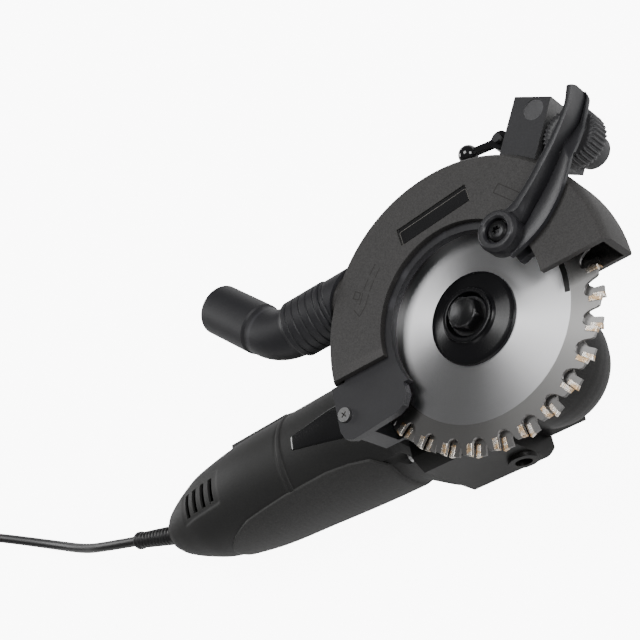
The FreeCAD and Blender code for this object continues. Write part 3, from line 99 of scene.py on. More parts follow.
def new_material(name, colour, roughness, metallic=0.0, **sockets):
    """A Principled material, with even values set on the shader's own sockets."""
    made = bpy.data.materials.new(name)
    made.use_nodes = True
    shader = made.node_tree.nodes["Principled BSDF"]
    shader.inputs["Base Color"].default_value = (*colour, 1)
    shader.inputs["Roughness"].default_value = roughness
    shader.inputs["Metallic"].default_value = metallic
    for label, value in sockets.items():
        shader.inputs[label.replace("_", " ")].default_value = value
    return made, made.node_tree, shader


def add(tree, kind, links=(), **values):
    """A node with its values set and its inputs linked; underscores stand for spaces."""
    made = tree.nodes.new("ShaderNode" + kind)
    for label, value in values.items():
        socket = label.replace("_", " ")
        if socket in made.inputs:
            made.inputs[socket].default_value = value
        else:
            setattr(made, label, value)
    for label, source in dict(links).items():
        tree.links.new(source, made.inputs[label])
    return made


def wire(tree, node, **sources):
    """Links sources to a node's inputs; underscores stand for spaces in their names."""
    for label, source in sources.items():
        tree.links.new(source, node.inputs[label.replace("_", " ")])


sheet_white, tree, shader = new_material("bench_sheet", (0.88, 0.88, 0.88), 0.85,
                                         Emission_Color=(1, 1, 1, 1))
# The sheet is lit from below like a light table: it shows bright but throws little light.
seen = add(tree, "MapRange", {"Value": add(tree, "LightPath").outputs["Is Camera Ray"]},
           To_Min=0.25, To_Max=9.0)
wire(tree, shader, Emission_Strength=seen.outputs[0])
bpy.ops.mesh.primitive_plane_add(size=14, location=(0, 0, 0))
bench = bpy.context.object
bench.name = "bench"
bench.data.materials.append(sheet_white)

# ---------------------------------------------------------------------------
# Finishes that several pieces share
# Cast or moulded skins have a fine grain, a slow drift of shade, and edges painted paler as a
# painted highlight; each is one group, placed in every material with that material's own values.


def node_group(name, inputs):
    """A shader group giving a colour, a roughness and a normal; its tree, input and output."""
    tree = bpy.data.node_groups.new(name, "ShaderNodeTree")
    for label, value in inputs.items():
        kind = "NodeSocketColor" if isinstance(value, tuple) else "NodeSocketFloat"
        tree.interface.new_socket(label, in_out="INPUT", socket_type=kind).default_value = value
    for label, kind in (("Colour", "Color"), ("Roughness", "Float"), ("Normal", "Vector")):
        tree.interface.new_socket(label, in_out="OUTPUT", socket_type="NodeSocket" + kind)
    return tree, tree.nodes.new("NodeGroupInput"), tree.nodes.new("NodeGroupOutput")


def scaled(tree, source, factor, offset):
    """source x factor + offset, where the offset is a number or another socket."""
    made = add(tree, "Math", {0: source}, operation="MULTIPLY_ADD")
    made.inputs[1].default_value = factor
    if isinstance(offset, float):
        made.inputs[2].default_value = offset
    else:
        tree.links.new(offset, made.inputs[2])
    return made.outputs[0]


def grain_finish():
    """Moulded or painted skin: noise at a grain size for colour, gloss and a shallow bump."""
    tree, given, put = node_group(
        "grain_finish", {"Colour": (0.1, 0.1, 0.1, 1), "Speck": 0.2, "Grain per metre": 1500.0,
                         "Depth": 0.00005, "Roughness": 0.5, "Roughness drift": 0.1, "Edge": 0.3})
    where = add(tree, "TexCoord").outputs["Object"]
    fine = add(tree, "TexNoise", {"Vector": where, "Scale": given.outputs["Grain per metre"]},
               Detail=3.0, Roughness=0.6)
    slow = add(tree, "TexNoise", {"Vector": where}, Scale=28.0, Detail=4.0, Roughness=0.55)
    spread = add(tree, "MapRange", {"Value": fine.outputs["Fac"]}, From_Min=0.3, From_Max=0.7,
                 To_Min=-1.0, To_Max=1.0)
    speck = add(tree, "Math", {0: spread.outputs[0], 1: given.outputs["Speck"]},
                operation="MULTIPLY")
    drift = scaled(tree, slow.outputs["Fac"], 0.36, 0.82)
    shade = add(tree, "Math", {0: speck.outputs[0], 1: drift}, operation="ADD")
    tinted = add(tree, "VectorMath", {0: given.outputs["Colour"], "Scale": shade.outputs[0]},
                 operation="SCALE")
    # Sharp edges, found by pointiness, are mixed towards a paler tone: a painted highlight.
    ridge = add(tree, "MapRange", {"Value": add(tree, "NewGeometry").outputs["Pointiness"]},
                From_Min=0.53, From_Max=0.62)
    edge_highlight_mask = add(tree, "Math", {0: ridge.outputs[0], 1: given.outputs["Edge"]}, operation="MULTIPLY")
    painted_light_tone = add(tree, "VectorMath", {0: given.outputs["Colour"]}, operation="SCALE", Scale=2.6)
    skin = add(tree, "Mix", {"Factor": edge_highlight_mask.outputs[0], "A": tinted.outputs[0],
                             "B": painted_light_tone.outputs[0]}, data_type="RGBA")
    gloss = add(tree, "Math", {0: slow.outputs["Fac"], 1: given.outputs["Roughness drift"],
                               2: given.outputs["Roughness"]}, operation="MULTIPLY_ADD")
    bump = add(tree, "Bump", {"Height": fine.outputs["Fac"], "Distance": given.outputs["Depth"]})
    wire(tree, put, Colour=skin.outputs["Result"], Roughness=gloss.outputs[0],
         Normal=bump.outputs["Normal"])
    return tree


GRAIN = grain_finish()


def from_group(group_tree, made, values):
    """Puts a shared group in a new material, where it gives the colour, gloss and normal."""
    material, tree, shader = made
    group = tree.nodes.new("ShaderNodeGroup")
    group.node_tree = group_tree
    for label, value in values.items():
        group.inputs[label].default_value = value
    wire(tree, shader, Base_Color=group.outputs["Colour"], Roughness=group.outputs["Roughness"],
         Normal=group.outputs["Normal"])
    return material


def grained(name, colour, roughness, speck=0.15, grain=1500.0, depth=0.00005, drift=0.1, edge=0.3,
            metallic=0.0, **sockets):
    """A material whose skin comes from the grain group."""
    return from_group(GRAIN, new_material(name, colour, roughness, metallic, **sockets),
                      {"Colour": (*colour, 1), "Speck": speck, "Grain per metre": grain,
                       "Depth": depth, "Roughness": roughness - drift / 2,
                       "Roughness drift": drift, "Edge": edge})


# ---------------------------------------------------------------------------
# Mechanism inside the cases
# Ground steel spindles and bearings, bevel gears, the motor's stacked iron, copper windings
# and carbon brushes.  Their shapes come straight from the frame, and each gets its finish.


def dress(material, *names):
    """Gives frame pieces one material."""
    for name in names:
        piece = parts[name]
        if not piece.material_slots:
            piece.data.materials.append(material)
        for holder in piece.material_slots:
            holder.material = material


def ground_finish():
    """Ground or turned metal: fine scratches along one direction in colour and gloss."""
    tree, given, put = node_group(
        "ground_finish", {"Colour": (0.5, 0.5, 0.5, 1), "Roughness": 0.3, "Scratches": 0.2,
                          "Along X": 60.0, "Across": 2600.0})
    where = add(tree, "TexCoord").outputs["Object"]
    size = add(tree, "CombineXYZ", {"X": given.outputs["Along X"], "Y": given.outputs["Across"],
                                    "Z": given.outputs["Across"]})
    stretched = add(tree, "VectorMath", {0: where, 1: size.outputs[0]}, operation="MULTIPLY")
    lines = add(tree, "TexNoise", {"Vector": stretched.outputs[0]}, Scale=1.0, Detail=3.0)
    stain = add(tree, "TexNoise", {"Vector": where}, Scale=120.0, Detail=3.0)
    centred = scaled(tree, lines.outputs["Fac"], 1.0, -0.5)
    amount = add(tree, "Math", {0: centred, 1: given.outputs["Scratches"]}, operation="MULTIPLY")
    shade = scaled(tree, stain.outputs["Fac"], 0.3, 0.85)
    total = add(tree, "Math", {0: amount.outputs[0], 1: shade}, operation="ADD")
    tinted = add(tree, "VectorMath", {0: given.outputs["Colour"], "Scale": total.outputs[0]},
                 operation="SCALE")
    gloss = add(tree, "Math", {0: amount.outputs[0], 1: given.outputs["Roughness"]},
                operation="ADD")
    bump = add(tree, "Bump", {"Height": lines.outputs["Fac"]}, Distance=0.000012)
    wire(tree, put, Colour=tinted.outputs[0], Roughness=gloss.outputs[0],
         Normal=bump.outputs["Normal"])
    return tree


GROUND = ground_finish()


def ground(name, colour, roughness, scratches=0.2, along=60.0, across=2600.0):
    """A metal whose scratches come from the ground group."""
    return from_group(GROUND, new_material(name, colour, roughness, 1.0),
                      {"Colour": (*colour, 1), "Roughness": roughness, "Scratches": scratches,
                       "Along X": along, "Across": across})


shaft_steel = ground("shaft_steel", (0.55, 0.56, 0.58), 0.28, scratches=0.25)
dress(shaft_steel, "armature_shaft", "inner_spindle", "hollow_spindle", "blade_seat")
dress(ground("bearing_steel", (0.72, 0.73, 0.75), 0.16, scratches=0.08), "armature_bearings",
      "spindle_foot_bearing", "hollow_spindle_bearings")
dress(ground("gear_steel", (0.36, 0.36, 0.38), 0.42, scratches=0.35, along=900), "bevel_pinion",
      "lower_gear", "upper_gear")
dress(ground("stacked_iron", (0.30, 0.30, 0.31), 0.5, scratches=0.6, along=2400, across=40),
      "stator", "armature_core")
dress(ground("wound_copper", (0.62, 0.30, 0.16), 0.3, scratches=0.6, along=2200, across=500),
      "field_coils", "armature_windings", "commutator")
dress(ground("pressed_brass", (0.72, 0.55, 0.26), 0.34, scratches=0.2), "brush_holders",
      "spindle_bushes")
dress(grained("pressed_carbon", (0.03, 0.03, 0.03), 0.6, speck=0.3, grain=2500), "carbon_brushes")
dress(grained("switch_plastic", (0.035, 0.035, 0.04), 0.45), "switch_module", "cooling_fan")
zinc = ground("zinc_screws", (0.42, 0.42, 0.42), 0.34, scratches=0.25, along=2000)
dress(zinc, "gearbox_screws", "guard_screws", "flange_screws", "inner_blade_screws", "trigger_pin")
dress(grained("pressed_wax", (0.72, 0.62, 0.36), 0.55, speck=0.1, grain=700,
              Subsurface_Weight=0.15), "wax_stick")
control_black = grained("control_plastic", (0.035, 0.035, 0.036), 0.4, speck=0.1, grain=1600)
dress(control_black, "paddle_trigger", "lock_off_button", "spindle_lock_button", "stick_pusher")

# ---------------------------------------------------------------------------
# Gear head
# A die-cast case in gloss black: a domed head on the blade axis and a box towards the motor.
# A cover and a thick ring above it carry the guard.


def softened(width, *names):
    """Rounds the sharp edges of frame pieces by a width in millimetres."""
    for name in names:
        weld = parts[name].modifiers.new("weld", "WELD")
        weld.merge_threshold = 0.002 * MM
        bevel = parts[name].modifiers.new("soft_edges", "BEVEL")
        bevel.width, bevel.segments = width * MM, 3
        bevel.limit_method, bevel.angle_limit = "ANGLE", math.radians(32)
        bevel.use_clamp_overlap = True
        bevel.harden_normals = False


case_black = grained("case_black_paint", (0.010, 0.0095, 0.009), 0.36, speck=0.12, grain=1300,
                     depth=0.00004, drift=0.12, edge=0.6, Specular_IOR_Level=0.22)
dress(case_black, "gear_housing", "gearbox_cover", "bearing_plate", "guard_mount")
softened(0.7, "gear_housing")
softened(0.3, "gearbox_cover", "guard_mount")
softened(0.25, "spindle_lock_button", "paddle_trigger")

# ---------------------------------------------------------------------------
# Guard and its bracket
# A cast half drum round the blades, painted in a fine-textured charcoal whose edges carry a
# painted highlight.  A blank black plate sits in a recess, some marks are engraved and drawn
# in dark painted shade, and a smooth satin bracket below carries the lever's post.

guard_paint = grained("guard_charcoal_paint", (0.046, 0.044, 0.043), 0.56, speck=0.42, grain=1900,
                      depth=0.00009, drift=0.14, edge=0.5)
bracket_paint = grained("bracket_satin_paint", (0.026, 0.026, 0.029), 0.42, speck=0.1, grain=1800,
                        depth=0.00002, drift=0.16, edge=0.6)
blank_black = grained("blank_plate_black", (0.008, 0.008, 0.009), 0.24, speck=0.08, grain=900,
                      depth=0.00001, drift=0.14, edge=0.0, Coat_Weight=0.4, Coat_Roughness=0.12)
# Dark lines where marks are engraved or recessed: painted shade.
groove_shade_paint = grained("groove_shade_line", (0.022, 0.020, 0.018), 0.7, speck=0.2, grain=2500, edge=0.0)
# A pale half-metallic tone laid along edges: a painted highlight.
painted_edge_highlight = grained("painted_edge_highlight", (0.20, 0.19, 0.175), 0.4, speck=0.3, grain=2500, edge=0.0,
                      metallic=0.5)
dress(guard_paint, "guard_shell")
dress(blank_black, "guard_badge")
dress(bracket_paint, "guard_bracket")
softened(0.55, "guard_shell")
softened(0.7, "guard_bracket")
softened(0.3, "guard_badge")


def finish(name, mesh, material, sharp=38):
    """Merges doubles, turns faces outwards, shades smooth but for real edges, and links it."""
    work = bmesh.new()
    work.from_mesh(mesh)
    bmesh.ops.remove_doubles(work, verts=work.verts, dist=2e-7)
    bmesh.ops.recalc_face_normals(work, faces=work.faces)
    work.to_mesh(mesh)
    work.free()
    mesh.shade_smooth()
    mesh.set_sharp_from_angle(angle=math.radians(sharp))
    mesh.materials.append(material)
    piece = bpy.data.objects.new(name, mesh)
    bpy.context.collection.objects.link(piece)
    return piece


def between(name, outer, inner, material, keep=None, wrap=False, sharp=38):
    """A closed piece between two grids of points of one layout, with real holes.

    keep marks the cells that exist.  Walls join the grids wherever a kept cell has no
    neighbour, so a dropped cell is a hole through the piece.
    """
    count_rows, count_columns = outer.shape[:2]
    cells_wide = count_columns if wrap else count_columns - 1
    if keep is None:
        keep = np.ones((count_rows - 1, cells_wide), bool)
    low = count_rows * count_columns
    quads = []
    for i, j in np.argwhere(keep):
        j2 = (j + 1) % count_columns
        a, b = i * count_columns + j, (i + 1) * count_columns + j
        c, d = (i + 1) * count_columns + j2, i * count_columns + j2
        quads += [(a, b, c, d), (low + d, low + c, low + b, low + a)]
        left, after = j - 1, j + 1
        if wrap:
            left, after = left % cells_wide, after % cells_wide
        sides = ((i, left, a, b), (i + 1, j, b, c), (i, after, c, d), (i - 1, j, d, a))
        for row, column, p, q in sides:
            inside = 0 <= row < count_rows - 1 and 0 <= column < cells_wide
            if not (inside and keep[row, column]):
                quads.append((q, p, low + p, low + q))
    quads = np.array(quads)
    used, order = np.unique(quads, return_inverse=True)
    points = np.concatenate([outer.reshape(-1, 3), inner.reshape(-1, 3)])[used] * MM
    mesh = bpy.data.meshes.new(name)
    mesh.from_pydata(points.tolist(), [], order.reshape(quads.shape).tolist())
    return finish(name, mesh, material, sharp)


def ribbon(name, line, width, low, high, material, closed=False):
    """A flat band along a line in the plan, with mitred corners, from one height to another."""
    pts = np.asarray(line, float)
    if closed:
        before, after = np.roll(pts, 1, axis=0), np.roll(pts, -1, axis=0)
    else:
        before, after = np.r_[pts[:1], pts[:-1]], np.r_[pts[1:], pts[-1:]]
    a, b = pts - before, after - pts
    if not closed:
        a[0], b[-1] = b[0], a[-1]
    a /= np.linalg.norm(a, axis=1)[:, None]
    b /= np.linalg.norm(b, axis=1)[:, None]
    square = np.stack([-(a + b)[:, 1], (a + b)[:, 0]], -1)
    square /= np.linalg.norm(square, axis=1)[:, None]
    reach = width / 2 / np.maximum(abs(square[:, :1] * -a[:, 1:] + square[:, 1:] * a[:, :1]), 0.4)
    edges = np.stack([pts + square * reach, pts - square * reach])
    top = np.concatenate([edges, np.full((2, len(pts), 1), high)], -1)
    return between(name, top, top - np.array([0, 0, high - low]), material, wrap=closed)


def joined(name, pieces):
    """Several pieces made one, each keeping its own materials."""
    bpy.ops.object.select_all(action="DESELECT")
    for piece in pieces:
        piece.select_set(True)
    bpy.context.view_layer.objects.active = pieces[0]
    bpy.ops.object.join()
    whole = bpy.context.view_layer.objects.active
    whole.name = name
    return whole


def eased(points, radius, steps=4):
    """A closed line whose corners are rounded: each becomes an arc between tangent points."""
    pts = np.asarray(points, float)
    count = len(pts)
    radii = np.broadcast_to(np.asarray(radius, float), (count,))
    out = []
    for k in range(count):
        if radii[k] == 0:
            out.append(pts[k][None])
            continue
        a, b = pts[k - 1] - pts[k], pts[(k + 1) % count] - pts[k]
        la, lb = np.linalg.norm(a), np.linalg.norm(b)
        a, b = a / la, b / lb
        half = math.acos(np.clip(np.dot(a, b), -1, 1)) / 2
        reach = min(radii[k] / max(math.tan(half), 1e-6), 0.49 * la, 0.49 * lb)
        t = np.linspace(0, 1, steps + 1)[:, None]
        p, q = pts[k] + a * reach, pts[k] + b * reach
        # A quadratic curve from tangent point to tangent point, drawn in towards the true arc.
        out.append((1 - t) ** 2 * p + 2 * t * (1 - t) * pts[k] + t ** 2 * q)
    return np.concatenate(out)


def placed(piece, body, slot, *nodes):
    """The piece rides a body and stands for these frame pieces."""
    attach(piece, body)
    if nodes:
        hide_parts(*nodes)


def polar(reach, angle):
    """Points of the plan: (reach cos, reach sin)."""
    return np.stack([reach * np.cos(angle), reach * np.sin(angle)], -1)


def turned_box(centre, half_long, half_wide, degrees):
    """The corners of a rectangle about a centre, turned by an angle."""
    c, s = math.cos(math.radians(degrees)), math.sin(math.radians(degrees))
    return [(centre[0] + u * half_long * c - v * half_wide * s,
             centre[1] + u * half_long * s + v * half_wide * c)
            for u, v in ((-1, -1), (1, -1), (1, 1), (-1, 1))]


FACE = 95.5


def groove_shade_line(line, width=0.35, closed=False):
    """A dark line just proud of the guard's face: painted shade in place of an engraved groove."""
    return ribbon("engraved_mark", line, width, FACE - 0.2, FACE + 0.04, groove_shade_paint, closed)


# Engraved marks, drawn as dark lines of painted shade: a blank rectangle, a small square and a
# dashed arrow that follows the drum.
marks = [groove_shade_line(turned_box((35.2, 37.3), 6.9, 2.1, -50), closed=True),
         groove_shade_line(turned_box((-45.6, 30.5), 1.6, 1.6, 52), closed=True)]
for start, stop in ((129.5, 135.5), (137, 143), (144.5, 150.5)):
    sweep = np.radians(np.linspace(start, stop, 8))
    marks += [groove_shade_line(polar(reach, sweep), 0.3) for reach in (48.6, 52.0)]
tip = np.array([-46.6, 20.6])
back = polar(1, math.radians(67))
side = np.array([-back[1], back[0]])
marks.append(groove_shade_line([tip + back * 3.2 + side * 3.6, tip, tip + back * 4.4 - side * 2.6]))
placed(joined("engraved_marks", marks), "housing", "cast_grey")
# A thin pale ring round the plate's recess: a painted highlight.
rim = ribbon("badge_rim", eased(turned_box((0.1, 45.6), 17.75, 3.55, 4), 1.0, 5), 0.22,
             FACE - 0.5, FACE - 0.22, painted_edge_highlight, closed=True)
placed(rim, "housing", "nameplate")

# The opening's edge is turned, and a pale band along its lip is a painted highlight.
lip = ribbon("lip_highlight", polar(39.15, np.radians(np.linspace(-2.2, 182.2, 121))), 0.28,
             FACE - 0.9, FACE - 0.42, painted_edge_highlight)
placed(lip, "housing", "cast_grey")

# Pan-head screws of the bracket; the one in view has a cross recess, drawn as two dark strips
# of painted shade.
dress(zinc, "bracket_screws")
softened(0.3, "bracket_screws")
screw = np.array([-65.6, -17.5])
arms = [ribbon("cross_recess", [screw - 1.5 * way, screw + 1.5 * way], 0.55, 93.6, 93.95, groove_shade_paint)
        for way in np.array([(0.8, 0.6), (-0.6, 0.8)])]
placed(joined("cross_recess", arms), "housing", "screw_steel")

# ---------------------------------------------------------------------------
# Motor body
# Two moulded tubes of satin dark grey nylon meet at a bowed seam.  The rear one tapers to
# the tail, has cooling slots on top and carries a softer moulded grip along its side.

body_nylon = grained("body_nylon", (0.026, 0.026, 0.0255), 0.56, speck=0.16, grain=1700,
                     depth=0.00006, drift=0.16, edge=0.7, Specular_IOR_Level=0.35)
grip_skin = grained("grip_skin", (0.040, 0.040, 0.039), 0.6, speck=0.2, grain=1100,
                    depth=0.00012, drift=0.1, edge=0.4)
AXIS = 29.5
shape_x = np.array([-60.0, -100, -133, -170, -185, -198, -207, -216, -223, -226])
shape_r = np.array([29.5, 29.5, 28.6, 27.0, 25.0, 22.5, 19.3, 15.5, 11.6, 9.0])


def body_radius(x):
    """Radius of the tapering body at a place along it, by a curve through a few sizes.

    A cubic Hermite curve is drawn between neighbouring sizes with the mean of their slopes.
    """
    xs, rs = -shape_x, shape_r
    slope = np.gradient(rs, xs)
    x = np.clip(-np.asarray(x, float), xs[0], xs[-1])
    k = np.clip(np.searchsorted(xs, x) - 1, 0, len(xs) - 2)
    h = xs[k + 1] - xs[k]
    t = (x - xs[k]) / h
    return ((2 * t ** 3 - 3 * t ** 2 + 1) * rs[k] + (t ** 3 - 2 * t ** 2 + t) * h * slope[k]
            + (3 * t ** 2 - 2 * t ** 3) * rs[k + 1] + (t ** 3 - t ** 2) * h * slope[k + 1])


def on_body(x, angle, lift):
    """Points over the body: x along it, angle from the top towards -Y, lifted off the skin.

    y = -(R + lift) sin(angle), z = axis + (R + lift) cos(angle)
    """
    reach = body_radius(x) + lift
    return np.stack([x + 0 * angle, -reach * np.sin(angle), AXIS + reach * np.cos(angle)], axis=-1)


def window(x, low, high, soft):
    """0 outside low..high, 1 inside, with a soft step of that width at both ends."""
    rise = np.clip((x - low) / soft, 0, 1) * np.clip((high - x) / soft, 0, 1)
    return rise * rise * (3 - 2 * rise)


def quarter(x):
    """A quarter of a circle: 0 up to x = 0, 1 from x = 1 on."""
    return np.sqrt(1 - (1 - np.clip(x, 0, 1)) ** 2)


def surface(name, rows, material, wrap_rows=False, wrap_columns=False, caps=False, sharp=38):
    """A mesh from points on a grid of two parameters, (rows, columns, 3), in millimetres.

    Each cell of the grid is one quad.  wrap joins the last row or column to the first, and
    caps close the first and last rows with one face each.
    """
    count_rows, count_columns = rows.shape[:2]
    i, j = np.meshgrid(np.arange(count_rows - (not wrap_rows)),
                       np.arange(count_columns - (not wrap_columns)), indexing="ij")
    i2, j2 = (i + 1) % count_rows, (j + 1) % count_columns
    quads = np.stack([i * count_columns + j, i2 * count_columns + j, i2 * count_columns + j2,
                      i * count_columns + j2], axis=-1).reshape(-1, 4).tolist()
    if caps:
        quads += [list(range(count_columns))[::-1],
                  list(range((count_rows - 1) * count_columns, count_rows * count_columns))]
    mesh = bpy.data.meshes.new(name)
    mesh.from_pydata((rows.reshape(-1, 3) * MM).tolist(), [], quads)
    return finish(name, mesh, material, sharp)


def spun(name, profile, material, centre=(0, 0, 0), axis="Z", steps=96):
    """A solid of revolution: a closed line of (radius, height) pairs turned round an axis."""
    line = np.asarray(profile, float)
    angle = np.linspace(0, 2 * np.pi, steps, endpoint=False)[:, None]
    x, y = line[None, :, 0] * np.cos(angle), line[None, :, 0] * np.sin(angle)
    z = np.broadcast_to(line[None, :, 1], x.shape)
    rows = np.stack([z, x, y] if axis == "X" else [x, y, z], axis=-1) + np.asarray(centre, float)
    return surface(name, rows, material, wrap_rows=True, wrap_columns=True)


# Front tube and its square mounting flange keep the frame's shape, under soft edges.
dress(body_nylon, "motor_housing")
softened(0.6, "motor_housing")

# Rear tube: the grid runs along it and round it, and holds the slots, the trigger's window
# and the button's hole.  Extra rows fall on the edges of those openings.
slot_edges = [-181.6, -178.4, -188.2, -185.0, -194.8, -191.6, -201.4, -198.2]
window_edges = [-179.4, -137.0, -190.4, -185.6]
along = np.unique(np.r_[np.linspace(-133, -226, 94), slot_edges, window_edges])[::-1]
round_about = np.linspace(0, 2 * np.pi, 241)[:-1]
X, A = np.meshgrid(along, round_about, indexing="ij")
dent = -0.5 * window(X, -205.0, -174.0, 1.2) * (np.cos(A) > 0)
dent = dent * window(-body_radius(X) * np.sin(A), -8.0, 10.5, 1.2)
skin = on_body(X, A, dent - 0.45 * (1 - np.clip((-133 - X) / 0.8, 0, 1)))
mid_x, mid_a = (along[1:] + along[:-1])[:, None] / 2, round_about[None] + np.pi / 240
mid_y, mid_z = -body_radius(mid_x) * np.sin(mid_a), body_radius(mid_x) * np.cos(mid_a)
opened = (mid_x < -137) & (mid_x > -179.4) & (mid_y > 0) & (abs(mid_z) < 7.9)
opened |= (abs(mid_x + 188) < 4.6) & (mid_y > 0) & (abs(mid_z) < 4.6)
for k in range(4):
    opened |= (abs(mid_x + 180 + 6.6 * k) < 1.55) & (mid_y > -5) & (mid_y < 8) & (mid_z > 0)
rear = between("rear_tube", skin, on_body(X, A, -2.3), body_nylon, keep=~opened, wrap=True)
rim_line = [(9.2, -226.1), (8.2, -226.9), (5.4, -227.0), (5.4, -223.4), (7.4, -223.4)]
tail_ring = spun("tail_ring", rim_line, body_nylon, (0, 0, AXIS), axis="X", steps=72)
rear = joined("rear_tube", [rear, tail_ring])
placed(rear, "housing", "body_plastic", "rear_cover")

# The seam: a thin bowed bead of the rear tube laps over the front one.
A = np.linspace(0, 2 * np.pi, 181)[:-1][None]
across = np.linspace(0, 1, 9)[:, None]
seam_x = -131.2 - 3.0 * across + 1.6 * np.cos(A) ** 2
rise = 0.55 * np.sqrt(np.clip(1 - (2 * across - 1) ** 4, 0, 1)) - 0.05
seam = between("seam_bead", on_body(seam_x, A, rise), on_body(seam_x, A, -0.4), body_nylon,
               wrap=True)
placed(seam, "housing", "body_plastic")

# Grip: a softer skin over the side, its upper edge drawn in a long shallow bow.
edge_x = np.array([-188.0, -176, -164, -137, -110, -97, -85.6, -78])
edge_y = np.array([-24.3, -21.6, -19.2, -17.4, -17.0, -18.0, -20.0, -25.0])
along = np.linspace(-188, -78, 111)[:, None]
line_y = np.interp(along, edge_x, edge_y)
top = np.arcsin(np.clip(-line_y / body_radius(along), 0, 0.999))
t = np.linspace(0, 1, 61)[None]
spread = top + (np.pi - 0.62 - top) * t
swell = quarter(np.minimum(along + 188, -78 - along) / 3.0)
swell = np.minimum(swell, quarter(np.minimum(t, 1 - t) / 0.035))
ribs = 0.05 * np.sin(2 * np.pi * along / 3.2) * window(along, -180.0, -92.0, 8.0)
lift = -0.25 + 1.3 * swell + ribs * window(t, 0.18, 0.92, 0.08) * swell
grip = between("side_grip", on_body(along, spread, lift), on_body(along, spread, -0.4), grip_skin)
placed(grip, "housing", "grip_rubber", "grip_overmould")

# Blank name plate: a glossy black wedge let into the top.
along = np.linspace(-122.5, -84, 60)[:, None]
t = np.linspace(0, 1, 25)[None]
low_y = np.interp(along, [-122.5, -89, -86, -84], [-2.0, -9.0, -9.0, -7.5])
high_y = np.interp(along, [-122.5, -103, -98, -86, -84], [5.0, 8.2, 9.0, 9.0, 8.0])
spread = np.arcsin(-(low_y + (high_y - low_y) * t) / body_radius(along))
brink = np.minimum(np.minimum(t, 1 - t) * 30, np.minimum(along + 122.5, -84 - along) * 1.2)
panel = between("blank_name_plate",
                on_body(along, spread, 0.02 + 0.3 * np.sqrt(np.clip(brink, 0, 1))),
                on_body(along, spread, -0.3), blank_black)
placed(panel, "housing", "nameplate", "name_panel")

# ---------------------------------------------------------------------------
# Dust elbow
# A hollow moulding that swivels on the guard's port: a ribbed sleeve, a bend and a smooth
# collar for a hose.  Satin dark grey, with fine grooves turned round the sleeve.

elbow_nylon = grained("elbow_nylon", (0.022, 0.022, 0.025), 0.5, speck=0.14, grain=1500,
                      depth=0.00005, drift=0.14, edge=0.6)
port_y, port_z, bend = 38.0, 84.5, 26.0
run = np.linspace(-64.8, -87, 90)
straight = np.stack([run, np.full(90, port_y)], -1)
swing = np.linspace(0, math.pi / 4, 25)[1:]
curve = np.stack([-87 - bend * np.sin(swing), port_y + bend - bend * np.cos(swing)], -1)
way = np.array([-1.0, 1.0]) / math.sqrt(2)
far = curve[-1] + way * np.linspace(0.25, 35.5, 100)[:, None]
path = np.concatenate([straight, curve, far])
heading = np.concatenate([np.tile([-1.0, 0.0], (90, 1)),
                          np.stack([-np.cos(swing), np.sin(swing)], -1),
                          np.tile(way, (100, 1))])
distance = np.r_[0, np.cumsum(np.linalg.norm(np.diff(path, axis=0), axis=1))]
sleeve_end, bend_end = 22.2, 22.2 + bend * math.pi / 4
outside = np.interp(distance, [0, 0.5, sleeve_end - 0.6, sleeve_end, sleeve_end + 1.2, bend_end,
                               bend_end + 3.6, bend_end + 4.1, bend_end + 34.9, bend_end + 35.5],
                    [13.2, 13.6, 13.6, 13.1, 12.1, 11.6, 11.6, 12.4, 12.4, 12.0])
for k in range(5):
    outside -= 0.42 * np.exp(-((distance - 2.6 - 4.1 * k) / 0.34) ** 4)
inside = np.interp(distance, [0, 12.2, 12.8, bend_end + 35, bend_end + 35.5],
                   [11.06, 11.06, 9.6, 9.6, 10.2])
A = np.linspace(0, 2 * np.pi, 97)[:-1]
side = np.stack([-heading[:, 1], heading[:, 0]], -1)


def swept(reach):
    """Circles of each radius along the path: centre + reach (side cos + up sin)."""
    flat = path[:, None] + side[:, None] * (reach[:, None] * np.cos(A))[..., None]
    return np.concatenate([flat, (port_z + reach[:, None] * np.sin(A))[..., None]], -1)


# A skirt on the port reaches from the drum to the sleeve, cut to the drum's round side.
t = np.linspace(0, 1, 24)[:, None]
drum = -np.sqrt(68.4 ** 2 - (port_y + 12.6 * np.cos(A)) ** 2)
run = drum[None] * (1 - t) - 64.5 * t


def skirt_ring(reach):
    """Circles about the port whose first one follows the drum: (run, y, z)."""
    return np.stack([run, port_y + reach * np.cos(A) + 0 * t,
                     port_z + reach * np.sin(A) + 0 * t], -1)


groove = 0.45 * np.exp(-((run + 62.6) / 0.34) ** 4)
skirt = between("port_skirt", skirt_ring(12.9 - groove), skirt_ring(11.2), elbow_nylon, wrap=True)
placed(skirt, "housing", "elbow_plastic")
elbow = between("dust_elbow_tube", swept(outside), swept(inside), elbow_nylon, wrap=True)
placed(elbow, "elbow", "elbow_plastic", "dust_elbow")

# ---------------------------------------------------------------------------
# Blades
# Two steel discs, brushed in circles, with a plain ground ring outside.  Each of the 28
# teeth has a brazed carbide tip, and the two discs face opposite ways.


